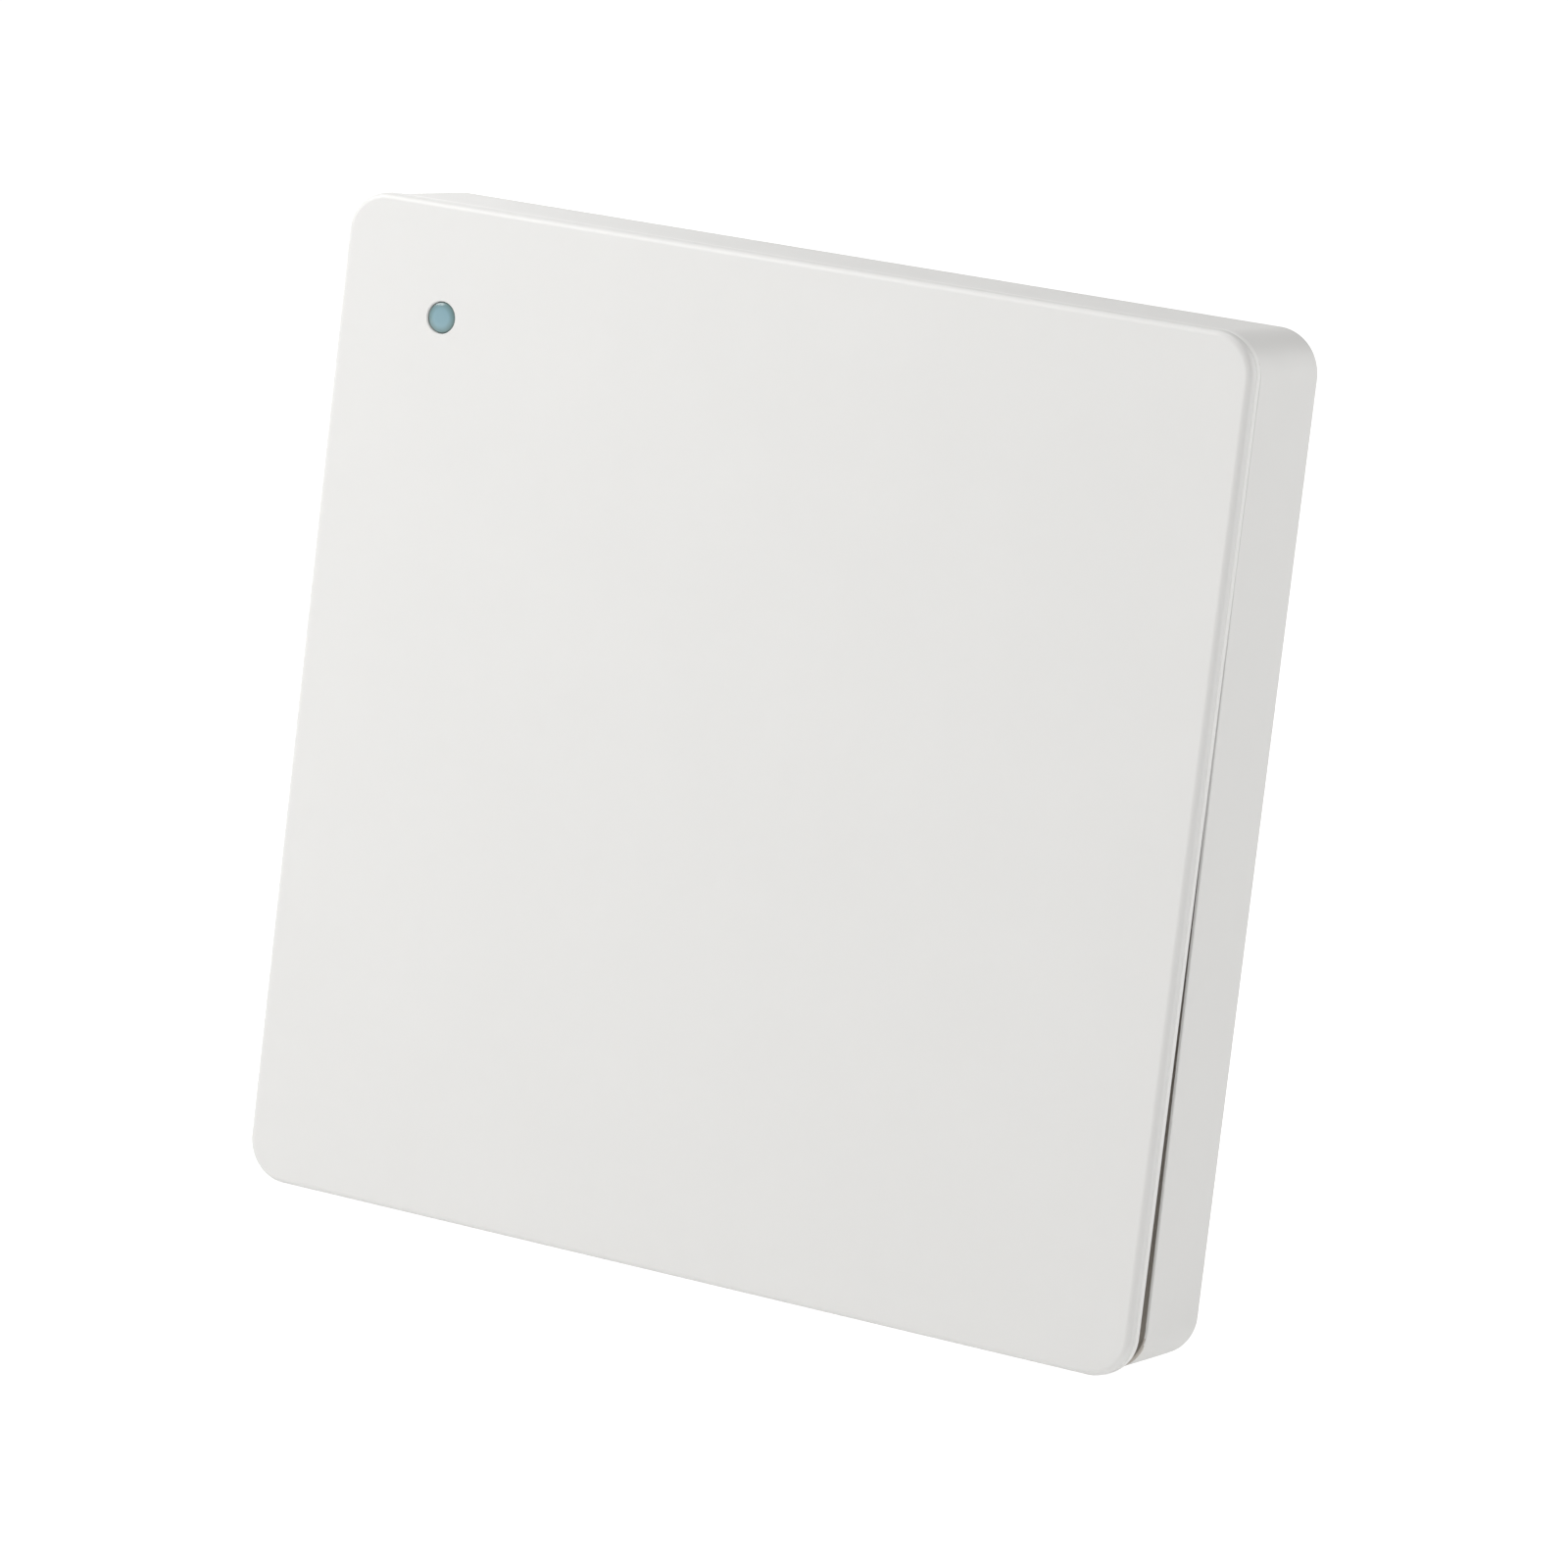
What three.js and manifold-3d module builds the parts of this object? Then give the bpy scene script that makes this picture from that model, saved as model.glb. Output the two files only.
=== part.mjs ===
// A battery wireless rocker panel for a standard 86 mm wall box: one big square rocker
// over a shallow housing, with its radio board, coin cell and clip-on wall plate.
// Frame: +X to the viewer's right, +Z up, the front looks along -Y and the wall is at y = 0.
// Depths are distances from the wall in mm, so a piece at depth d lies at y = -d.
import * as THREE from "three";
import { mergeVertices } from "three/addons/utils/BufferGeometryUtils.js";
import Module from "manifold-3d";

const wasm = await Module();
wasm.setup();

// ---- Driving dimensions ----

// outline
const panelWidth = 86;
const panelHeight = 86;
const panelCorner = 3.6;
const shellInset = 0.1; // the shell's walls stand this far inside the rocker's outline
const shellWall = 1.6;
const shellLip = 0.35; // the wall's thinner edge in front of the deck
const shellCorner = 3.8;

// clearances
const seatGap = 0.05; // between faces that rest on each other
const slipGap = 0.2; // between pieces that push together by hand
const hookGap = 0.3; // round a snap hook in its pocket or slot
const pinGap = 0.08; // between a pivot pin and its bore
const stemGap = 0.1; // between a switch's stem and its metal frame

// the stack from the wall to the front face
const wallPlateThickness = 1.8;
const shellRearStep = 0.15; // the wall plate stands this proud of the shell's rear edge
const cellRoom = 0.3; // behind the coin cell
const cellThickness = 3.2;
const contactRoom = 0.5; // between the coin cell and the board
const boardThickness = 1.0;
const boardStandoff = 0.5;
const deckThickness = 1.2;
const rockerGap = 0.25; // between the shell's front edge and the rocker
const carrierThickness = 0.7;
const coverThickness = 1.05;
const coverRound = 0.5;

// rocker motion
const pivotInset = 20; // from the top edge down to the pivot
const lowerEdgeTravel = 1.5;
const pinRadius = 1.1;
const pinLength = 2.4;
const pinStand = 0.15; // between the pin and the carrier's rear face
const pinFloor = 0.35; // between the pin and the deck
const earInset = 3.9; // from the panel's side to the ear's outer face
const earWidth = 2.2;
const earWall = 1.0; // above and below the bore
const earSnap = 0.2; // how far each lip of the ear's mouth reaches over the pin
const earFrontGap = 0.4; // between the ear and the carrier
const lugWidth = 2.2;
const lugWall = 0.4; // above and below the pin
const lugRearStep = 0.3; // the pin stands this far behind its lug

// ribs on the back of the rocker
const ribThickness = 1.0;
const ribHeight = 0.7;
const ribSpread = 18;
const rimInset = 2.6;
const rimCorner = 1.6;

// rocker hooks that stop the lower edge from swinging out
const catchSpread = 26;
const catchInset = 4;
const catchWidth = 4;
const catchThickness = 1.0;
const catchBarb = 0.7;
const catchRest = 0.1; // barb to deck at rest
const catchSlack = 0.4; // slot wall to the hook's outer face

// return springs and bumpers
const springInsetX = 15;
const springInsetZ = 13;
const springRadius = 1.9;
const springWire = 0.2;
const springTurns = 3.5;
const springWellGap = 0.5;
const springWellDepth = 0.6;
const springPostGap = 0.5;
const springPostHeight = 0.6;
const bumperSpread = 12;
const bumperInset = 6;
const bumperRadius = 2.0;
const bumperSeat = 0.3;
const bumperRest = 0.15; // bumper to carrier when fully pressed

// indicator
const lensInsetX = 10.2;
const lensInsetZ = 9.7;
const lensRadius = 1.3;
const lensFlange = 0.5;
const lensGap = 0.06;
const lensRecess = 0.05; // behind the cover's face
const lightPipeRadius = 1.1;
const lightPipeCollar = 0.6;
const ledPocketRadius = 2.2;
const ledPocketLip = 0.55;

// key switch under the rocker
const keyArm = 30; // below the pivot
const keyBodySize = 6.2;
const keyBodyHeight = 2.7;
const keyWellRadius = 2.3;
const keyWellDepth = 1.35;
const keyFrameThickness = 0.2;
const keyStemRadius = 1.7;
const keyStemStand = 0.8; // stem in front of the metal frame
const keyFlangeThickness = 0.45;
const keyGap = 0.12; // stem to the rocker's press boss
const keyHoleGap = 0.6; // round the switch in the deck
const pressBossMargin = 0.8; // round the stem

// wall plate
const wallScrewPitch = 60;
const wallSlotLength = 9;
const wallSlotWidth = 4.6;
const plateHookSpread = 14;
const plateHookWidth = 6;
const plateHookThickness = 0.9;
const plateHookHeight = 3.0;
const plateBarb = 0.45; // how far it reaches into the shell's wall
const plateBarbHeight = 0.8;
const padWidth = 60;
const padHeight = 16;
const padThickness = 0.75;
const padCorner = 1.0;
const padCentre = 24; // above and below the middle
const pryWidth = 8;
const pryDepth = 0.8;

// board and its screws
const boardEdgeX = 3.3; // from the shell's inner wall
const boardEdgeZ = 5.3;
const boardCorner = 2;
const screwInsetX = 9;
const screwZ = [12, -24];
const screwRadius = 0.8;
const screwHeadRadius = 1.8;
const screwHeadHeight = 1.2;
const screwTip = 0.6;
const screwBite = 0.6; // how far the tip goes past the deck
const screwHoleGap = 0.3; // in the board
const pilotGap = 0.06; // in the boss, where the threads would be
const bossRadius = 2.2;
const bossHeight = 1.3;
const bossFloor = 0.4;

// coin cell, its holder and contacts
const cellRadius = 10;
const cellX = -14;
const cellZ = -18;
const cellGap = 0.3;
const holderWall = 1.3;
const holderRearStep = 0.5;
const holderBase = 0.9; // left standing under the lifting notch
const contactWidth = 4.8;
const contactThickness = 0.25;
const contactFoot = 3.6;
const contactTouch = 0.1; // contact to the cell's side

// pairing switch
const pairX = 14;
const pairZ = 0;
const pairBodySize = 4.2;
const pairBodyHeight = 1.35;
const pairWellDepth = 0.9;
const pairFrameThickness = 0.15;
const pairStemRadius = 0.9;
const pairFlange = 0.35;
const pairStemRest = 0.5; // stem to the wall plate
const pairHoleRadius = 1.7;

// aerial
const aerialRadius = 1.3;
const aerialWire = 0.25;
const aerialLength = 12;
const aerialTurns = 8;
const aerialLift = 0.3;

// ---- Worked out from the above ----

const cellRear = wallPlateThickness + cellRoom;
const cellFront = cellRear + cellThickness;
const boardRear = cellFront + contactRoom;
const boardFront = boardRear + boardThickness;
const deckRear = boardFront + boardStandoff;
const deckFront = deckRear + deckThickness;
const pivotDepth = deckFront + pinFloor + pinRadius;
const carrierRear = pivotDepth + pinRadius + pinStand;
const shellFront = carrierRear - rockerGap;
const carrierFront = carrierRear + carrierThickness;
const coverRear = carrierFront + seatGap;
const panelFront = coverRear + coverThickness;
const boardRearSeat = boardRear - seatGap; // where parts on the rear of the board start
const boardFrontSeat = boardFront + seatGap;

const shellWidth = panelWidth - 2 * shellInset;
const shellHeight = panelHeight - 2 * shellInset;
const innerWidth = shellWidth - 2 * shellWall;
const innerHeight = shellHeight - 2 * shellWall;
const innerCorner = shellCorner - shellWall;

const pivotZ = panelHeight / 2 - pivotInset;
const pressSlope = lowerEdgeTravel / (pivotZ + panelHeight / 2);
const pressAt = (z) => (pivotZ - z) * pressSlope; // how far the rocker goes in at height z

const lensX = lensInsetX - panelWidth / 2;
const lensZ = panelHeight / 2 - lensInsetZ;
const keyZ = pivotZ - keyArm;
const keyBodyFront = boardFrontSeat + keyBodyHeight;
const keyFlangeFront = keyBodyFront - seatGap;
const keyFlangeRear = keyFlangeFront - keyFlangeThickness;
const keyFrameRear = keyBodyFront + seatGap;
const keyStemFront = keyFrameRear + keyFrameThickness + keyStemStand;
const springX = panelWidth / 2 - springInsetX;
const springZ = springInsetZ - panelHeight / 2;
const bumperZ = bumperInset - panelHeight / 2;
const catchZ = catchInset - panelHeight / 2;
const earOuter = panelWidth / 2 - earInset;
const earInner = earOuter - earWidth;
const screwX = panelWidth / 2 - screwInsetX;
const screwPlaces = screwZ.flatMap((z) => [[-screwX, z], [screwX, z]]);
const plateHookZ = innerHeight / 2 - slipGap - plateHookThickness / 2;
const plateHookFront = wallPlateThickness + plateHookHeight;
const plateHookPlaces = [[-1, 1], [1, 1], [-1, -1], [1, -1]]
  .map(([side, up]) => [side * plateHookSpread, up]);
const pairBodyRear = boardRearSeat - pairBodyHeight;

// ---- Solids ----

const eps = 0.02; // how far a joined piece runs into its neighbour
const clear = 1; // how far a cutter runs past a face

// A closed geometry as a solid that can be joined and cut.
function solid(geometry) {
  geometry.deleteAttribute("normal");
  geometry.deleteAttribute("uv");
  const merged = mergeVertices(geometry, 1e-5);
  const index = merged.index.array;
  const triangles = [];
  for (let i = 0; i < index.length; i += 3) {
    const [a, b, c] = index.slice(i, i + 3);
    if (a !== b && b !== c && c !== a) triangles.push(a, b, c);
  }
  return new wasm.Manifold(new wasm.Mesh({
    numProp: 3,
    vertProperties: new Float32Array(merged.attributes.position.array),
    triVerts: new Uint32Array(triangles),
  }));
}

function joined(first, ...others) {
  return others.reduce((whole, piece) => whole.add(piece), first);
}

function cut(whole, ...cutters) {
  return cutters.reduce((left, cutter) => left.subtract(cutter), whole);
}

function roundedRect(width, height, corner, x = 0, z = 0) {
  const [left, right] = [x - width / 2, x + width / 2];
  const [low, high] = [z - height / 2, z + height / 2];
  const shape = new THREE.Shape();
  shape.absarc(right - corner, low + corner, corner, -Math.PI / 2, 0);
  shape.absarc(right - corner, high - corner, corner, 0, Math.PI / 2);
  shape.absarc(left + corner, high - corner, corner, Math.PI / 2, Math.PI);
  shape.absarc(left + corner, low + corner, corner, Math.PI, Math.PI * 1.5);
  shape.closePath();
  return shape;
}

// A slot with round ends that lies along X.
function stadium(length, width, x, z) {
  const [radius, reach] = [width / 2, (length - width) / 2];
  const shape = new THREE.Shape();
  shape.absarc(x + reach, z, radius, -Math.PI / 2, Math.PI / 2);
  shape.absarc(x - reach, z, radius, Math.PI / 2, Math.PI * 1.5);
  shape.closePath();
  return shape;
}

// An outline in X and Z, filled from one depth to another.
function slab(shape, from, to, arcSteps = 4) {
  const geometry = new THREE.ExtrudeGeometry(shape, {
    depth: to - from,
    bevelEnabled: false,
    curveSegments: arcSteps,
  });
  return solid(geometry.translate(0, 0, from).rotateX(Math.PI / 2));
}

function disc(radius, from, to, x = 0, z = 0) {
  const shape = new THREE.Shape().absarc(x, z, radius, 0, Math.PI * 2);
  return slab(shape, from, to, 12);
}

function block(x0, x1, z0, z1, from, to) {
  const geometry = new THREE.BoxGeometry(x1 - x0, to - from, z1 - z0);
  return solid(geometry.translate((x0 + x1) / 2, -(from + to) / 2, (z0 + z1) / 2));
}

// A profile of [radius, depth] points, from the axis round to the axis, turned about that axis.
function turned(profile, x = 0, z = 0) {
  const points = profile.map(([radius, depth]) => new THREE.Vector2(radius, depth));
  return solid(new THREE.LatheGeometry(points, 24).rotateX(Math.PI).translate(x, 0, z));
}

function rodAlongX(radius, x0, x1, z, depth) {
  const geometry = new THREE.CylinderGeometry(radius, radius, x1 - x0, 24);
  return solid(geometry.rotateZ(Math.PI / 2).translate((x0 + x1) / 2, -depth, z));
}

// An outline of [z, depth] points, filled over a width about x.
function prismAlongX(points, width, x = 0) {
  const shape = new THREE.Shape(points.map(([z, depth]) => new THREE.Vector2(-depth, z)));
  const geometry = new THREE.ExtrudeGeometry(shape, { depth: width, bevelEnabled: false });
  geometry.rotateX(Math.PI / 2).rotateZ(Math.PI / 2); // the outline now lies in Y and Z
  return solid(geometry.translate(x - width / 2, 0, 0));
}

class Helix extends THREE.Curve {
  constructor(radius, length, turns) {
    super();
    Object.assign(this, { radius, length, turns });
  }

  getPoint(t, target = new THREE.Vector3()) {
    const angle = t * this.turns * Math.PI * 2;
    const { radius, length } = this;
    return target.set(radius * Math.cos(angle), radius * Math.sin(angle), t * length);
  }
}

// A round wire wound about +Z, its middle running from z = 0 to z = length.
function coil(radius, wire, length, turns) {
  const section = new THREE.Shape().absarc(0, 0, wire, 0, Math.PI * 2);
  return new THREE.ExtrudeGeometry(section, {
    steps: Math.round(turns * 12),
    curveSegments: 3,
    extrudePath: new Helix(radius, length, turns),
  });
}

// ---- Materials ----

function finish(color, roughness, metalness = 0, more = {}) {
  return new THREE.MeshStandardMaterial({ color, roughness, metalness, ...more });
}

const coverWhite = finish(0xebeae6, 0.42);
const carrierWhite = finish(0xe4e3df, 0.5);
const shellWhite = finish(0xe0dfdb, 0.5);
const plateWhite = finish(0xd8d7d3, 0.6);
const lensTeal = finish(0x84a8ae, 0.15, 0, { transparent: true, opacity: 0.8 });
const clearPipe = finish(0xdfe8ea, 0.1, 0, { transparent: true, opacity: 0.5 });
const foamGrey = finish(0x8d8f92, 0.95);
const boardGreen = finish(0x1e5a38, 0.55);
const blackPlastic = finish(0x1c1c1e, 0.55);
const steel = finish(0xc4c6c8, 0.3, 1);
const springSteel = finish(0xa9abad, 0.35, 1);
const goldWire = finish(0xc9a24a, 0.3, 1);
const silicone = finish(0xb9bcbe, 0.8);
const ledYellow = finish(0xf2efc8, 0.4);
const tantalum = finish(0xc98a2c, 0.5);

function makeMesh(name, body, material, x = 0, depth = 0, z = 0) {
  const { vertProperties, triVerts } = body.getMesh();
  const geometry = new THREE.BufferGeometry();
  geometry.setAttribute("position", new THREE.BufferAttribute(vertProperties, 3));
  geometry.setIndex(new THREE.BufferAttribute(triVerts, 1));
  geometry.computeVertexNormals();
  const mesh = new THREE.Mesh(geometry, material);
  mesh.name = name;
  mesh.position.set(x, -depth, z);
  return mesh;
}

// ---- Rocker ----

// The flat square front plate, rounded along its front edge.
function rockerCover() {
  const flat = roundedRect(
    panelWidth - 2 * coverRound,
    panelHeight - 2 * coverRound,
    panelCorner - coverRound,
  );
  const geometry = new THREE.ExtrudeGeometry(flat, {
    depth: coverThickness,
    bevelThickness: coverRound,
    bevelSize: coverRound,
    bevelSegments: 3,
    curveSegments: 4,
  });
  const rounded = solid(geometry.translate(0, 0, coverRear - coverRound).rotateX(Math.PI / 2));
  const behind = roundedRect(panelWidth + clear, panelHeight + clear, panelCorner);
  return cut(
    rounded,
    slab(behind, coverRear - 2 * coverRound, coverRear),
    disc(lensRadius + lensGap, coverRear - clear, panelFront + clear, lensX, lensZ),
  );
}

// Lug and pin of one pivot; side is 1 on the right and -1 on the left.
function carrierPivot(side) {
  const outer = earInner - slipGap;
  const inner = outer - lugWidth;
  const [root, tip] = [inner + lugWidth / 2, outer + pinLength];
  const [x0, x1] = side > 0 ? [inner, outer] : [-outer, -inner];
  const [pin0, pin1] = side > 0 ? [root, tip] : [-tip, -root];
  const half = pinRadius + lugWall;
  const lugRear = pivotDepth - pinRadius + lugRearStep;
  return joined(
    block(x0, x1, pivotZ - half, pivotZ + half, lugRear, carrierRear + eps),
    rodAlongX(pinRadius, pin0, pin1, pivotZ, pivotDepth),
  );
}

// Hook whose barb sits behind the deck: the lower edge can go in but not out.
function carrierCatch(x) {
  const [outer, inner] = [catchZ - catchThickness / 2, catchZ + catchThickness / 2];
  const barbFront = deckRear - catchRest;
  const barbRear = barbFront - catchBarb;
  return prismAlongX([
    [outer, carrierRear + eps],
    [inner, carrierRear + eps],
    [inner, barbFront],
    [inner + catchBarb, barbFront],
    [inner, barbRear],
    [outer, barbRear],
  ], catchWidth, x);
}

// A square rim and two upright ribs.
function carrierRibs() {
  const [width, height] = [panelWidth - 2 * rimInset, panelHeight - 2 * rimInset];
  const inside = [width - 2 * ribThickness, height - 2 * ribThickness];
  const [rear, front] = [carrierRear - ribHeight, carrierRear + eps];
  const ribs = [-ribSpread, ribSpread].map((x) => block(
    x - ribThickness / 2, x + ribThickness / 2, eps - height / 2, height / 2 - eps, rear, front,
  ));
  const rim = cut(
    slab(roundedRect(width, height, rimCorner), rear, front),
    slab(roundedRect(...inside, rimCorner / 2), rear - clear, front + clear),
  );
  return joined(rim, ...ribs);
}

// The rocker's structural back: ribs, pivots, catches, spring posts and press boss.
function rockerFrame() {
  const posts = [-springX, springX].map((x) => disc(
    springRadius - springWire - springPostGap,
    carrierRear - springPostHeight, carrierRear + eps, x, springZ,
  ));
  const body = joined(
    slab(roundedRect(panelWidth, panelHeight, panelCorner), carrierRear, carrierFront),
    carrierRibs(),
    ...posts,
    ...[1, -1].map(carrierPivot),
    ...[catchSpread, -catchSpread].map(carrierCatch),
    disc(keyStemRadius + pressBossMargin, keyStemFront + keyGap, carrierRear + eps, 0, keyZ),
  );
  const lensSeat = lensRadius + lensFlange + slipGap;
  return cut(body, disc(lensSeat, carrierRear - clear, carrierFront + clear, lensX, lensZ));
}

// Teal lens pushed in from behind, its flange against the back of the cover.
function indicatorLens() {
  const flangeRear = carrierRear + 0.15;
  const flangeFront = coverRear - seatGap;
  const face = panelFront - lensRecess;
  return turned([
    [0, flangeRear],
    [lensRadius + lensFlange, flangeRear],
    [lensRadius + lensFlange, flangeFront],
    [lensRadius, flangeFront],
    [lensRadius, face - 0.1],
    [lensRadius - 0.1, face],
    [0, face],
  ], lensX, lensZ);
}

// ---- Housing ----

// C-shaped ear that a pivot pin snaps into.
function pivotEar(side) {
  const [x0, x1] = side > 0 ? [earInner, earOuter] : [-earOuter, -earInner];
  const front = carrierRear - earFrontGap;
  const bore = pinRadius + pinGap;
  const half = bore + earWall;
  const mouth = pinRadius - earSnap;
  return cut(
    block(x0, x1, pivotZ - half, pivotZ + half, deckFront - eps, front),
    rodAlongX(bore, x0 - clear, x1 + clear, pivotZ, pivotDepth),
    block(x0 - clear, x1 + clear, pivotZ - mouth, pivotZ + mouth, pivotDepth, front + clear),
  );
}

// Pockets in the shell's walls for the wall plate's barbs.
function platePockets() {
  const half = plateHookWidth / 2 + hookGap;
  return plateHookPlaces.map(([x, up]) => {
    const mouth = up * (innerHeight / 2 - eps);
    const floor = up * (innerHeight / 2 + plateBarb + hookGap);
    return block(
      x - half, x + half, Math.min(mouth, floor), Math.max(mouth, floor),
      plateHookFront - plateBarbHeight - hookGap, plateHookFront + hookGap,
    );
  });
}

// Everything that is cut out of the deck, and the notch for prying the shell off the plate.
function shellCuts() {
  const [rear, front] = [deckRear - clear, deckFront + clear];
  const keyHole = keyBodySize + 2 * keyHoleGap;
  const wellRadius = springRadius + springWire + springWellGap;
  const catchHalf = catchWidth / 2 + hookGap;
  const pryFloor = shellRearStep + pryDepth;
  return [
    slab(roundedRect(keyHole, keyHole, keyHoleGap, 0, keyZ), rear, front),
    disc(lightPipeRadius + slipGap / 2, rear, front, lensX, lensZ),
    disc(ledPocketRadius, rear, deckFront - ledPocketLip, lensX, lensZ),
    ...screwPlaces.map(([x, z]) => (
      disc(screwRadius + pilotGap, boardFront, deckFront + bossHeight - bossFloor, x, z)
    )),
    ...[-springX, springX].map((x) => (
      disc(wellRadius, deckFront - springWellDepth, front, x, springZ)
    )),
    ...[-bumperSpread, bumperSpread].map((x) => (
      disc(bumperRadius + slipGap / 2, deckFront - bumperSeat, front, x, bumperZ)
    )),
    ...[-catchSpread, catchSpread].map((x) => block(
      x - catchHalf, x + catchHalf,
      catchZ - catchThickness / 2 - catchSlack, catchZ + catchThickness / 2 + hookGap,
      rear, front,
    )),
    ...platePockets(),
    block(-pryWidth / 2, pryWidth / 2, -panelHeight / 2, eps - innerHeight / 2, 0, pryFloor),
  ];
}

// The tray that everything sits in: side walls, a deck across the middle, ears and bosses.
function housingShell() {
  const inner = roundedRect(innerWidth, innerHeight, innerCorner);
  const mouth = roundedRect(
    shellWidth - 2 * shellLip, shellHeight - 2 * shellLip, shellCorner - shellLip,
  );
  const below = -panelHeight;
  const taper = prismAlongX([ // the front edge falls away below the pivot, like the pressed rocker
    [pivotZ, shellFront],
    [pivotZ, shellFront + clear],
    [below, shellFront + clear],
    [below, shellFront - pressAt(below)],
  ], 2 * panelWidth);
  const tray = cut(
    slab(roundedRect(shellWidth, shellHeight, shellCorner), shellRearStep, shellFront),
    slab(inner, shellRearStep - clear, deckRear),
    slab(mouth, deckFront, shellFront + clear),
    taper,
  );
  const bosses = screwPlaces.flatMap(([x, z]) => [
    disc(bossRadius, deckFront - eps, deckFront + bossHeight, x, z),
    disc(bossRadius, boardFrontSeat, deckRear + eps, x, z),
  ]);
  return cut(joined(tray, pivotEar(1), pivotEar(-1), ...bosses), ...shellCuts());
}

// ---- Wall plate ----

// Snap hook near the top (up = 1) or bottom (up = -1) edge, its barb pointing outwards.
function plateHook([x, up]) {
  const inner = up * (plateHookZ - plateHookThickness / 2);
  const outer = up * (plateHookZ + plateHookThickness / 2);
  const barbRear = plateHookFront - plateBarbHeight;
  return prismAlongX([
    [inner, wallPlateThickness - eps],
    [outer, wallPlateThickness - eps],
    [outer, barbRear],
    [outer + up * (slipGap + plateBarb), barbRear],
    [outer, plateHookFront],
    [inner, plateHookFront],
  ], plateHookWidth, x);
}

// Flat plate that goes on the wall, by two screws or by tape; the housing clips onto it.
function wallPlate() {
  const [rear, front] = [-clear, wallPlateThickness + clear];
  const outline = roundedRect(
    innerWidth - 2 * slipGap, innerHeight - 2 * slipGap, innerCorner - slipGap,
  );
  const slots = [-1, 1].map((side) => (
    slab(stadium(wallSlotLength, wallSlotWidth, side * wallScrewPitch / 2, 0), rear, front)
  ));
  const seat = [padWidth + 2 * slipGap, padHeight + 2 * slipGap, padCorner + slipGap];
  const padSeats = [-1, 1].map((up) => (
    slab(roundedRect(...seat, 0, up * padCentre), rear, padThickness + seatGap)
  ));
  return cut(
    joined(slab(outline, 0, wallPlateThickness), ...plateHookPlaces.map(plateHook)),
    ...slots,
    ...padSeats,
    disc(pairHoleRadius, rear, front, pairX, pairZ),
  );
}

const adhesivePad = () => slab(roundedRect(padWidth, padHeight, padCorner), 0, padThickness);

// ---- Board and what sits on it ----

function circuitBoard() {
  const [width, height] = [innerWidth - 2 * boardEdgeX, innerHeight - 2 * boardEdgeZ];
  return cut(
    slab(roundedRect(width, height, boardCorner), boardRear, boardFront),
    ...screwPlaces.map(([x, z]) => (
      disc(screwRadius + screwHoleGap, boardRear - clear, boardFront + clear, x, z)
    )),
  );
}

// Self-tapping screw, the underside of its head at depth 0.
function boardScrew() {
  const reach = deckFront + screwBite - boardRearSeat;
  const body = turned([
    [0, -screwHeadHeight],
    [screwHeadRadius - 0.3, -screwHeadHeight],
    [screwHeadRadius, -screwHeadHeight + 0.4],
    [screwHeadRadius, 0],
    [screwRadius, 0],
    [screwRadius, reach - screwTip],
    [screwRadius - 0.5, reach],
    [0, reach],
  ]);
  const slot = (halfX, halfZ) => (
    block(-halfX, halfX, -halfZ, halfZ, -screwHeadHeight - clear, -screwHeadHeight / 2)
  );
  return cut(body, slot(0.2, 1.1), slot(1.1, 0.2)); // a cross recess
}

// Coin cell, its wide positive face to the wall and its negative cap to the board.
function coinCell() {
  const edge = 0.4;
  const capStep = 0.3;
  const capRadius = cellRadius - 1.1;
  return turned([
    [0, cellRear],
    [cellRadius - edge, cellRear],
    [cellRadius, cellRear + edge],
    [cellRadius, cellFront - 2 * capStep],
    [cellRadius - capStep, cellFront - capStep],
    [capRadius, cellFront - capStep],
    [capRadius - capStep, cellFront],
    [0, cellFront],
  ], cellX, cellZ);
}

// Ring round the cell, open on one side for the positive contact, with a notch to lift the cell.
function batteryHolder() {
  const rear = cellRear + holderRearStep;
  const inside = cellRadius + cellGap;
  const half = contactWidth / 2 + hookGap;
  const reach = inside + holderWall + clear;
  return cut(
    disc(inside + holderWall, rear, boardRearSeat, cellX, cellZ),
    disc(inside, rear - clear, boardRear, cellX, cellZ),
    block(cellX, cellX + reach, cellZ - half, cellZ + half, rear - clear, boardRear),
    block(cellX - reach, cellX, cellZ - half, cellZ + half, rear - clear, boardRearSeat - holderBase),
  );
}

// Upright strip that presses on the cell's side, with a foot on the board.
function positiveContact() {
  const [z0, z1] = [cellZ - contactWidth / 2, cellZ + contactWidth / 2];
  const x = cellX + cellRadius + contactTouch;
  const rear = cellRear + 2 * holderRearStep;
  return joined(
    block(x, x + contactThickness, z0, z1, rear, boardRearSeat),
    block(x, x + contactFoot, z0, z1, boardRearSeat - contactThickness, boardRearSeat),
  );
}

// Flat strip on the board with a raised tongue under the cell's cap.
function negativeContact() {
  const [halfLength, halfTongue] = [6, 1.5];
  const strip = boardRearSeat - contactThickness;
  return joined(
    block(cellX - halfLength, cellX + halfLength, cellZ - 2, cellZ + 2, strip, boardRearSeat),
    block(
      cellX - halfTongue, cellX + halfTongue, cellZ - halfTongue, cellZ + halfTongue,
      cellFront + seatGap, strip + eps,
    ),
  );
}

// The next four stand on the rear of the board, which is at depth 0.

// Metal can over the radio chip, open towards the board.
function radioShield() {
  const [width, height, stand, wall] = [13, 11, 1.9, 0.2];
  return cut(
    slab(roundedRect(width, height, 3 * wall), -stand, 0),
    slab(roundedRect(width - 2 * wall, height - 2 * wall, 2 * wall), wall - stand, clear),
  );
}

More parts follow.
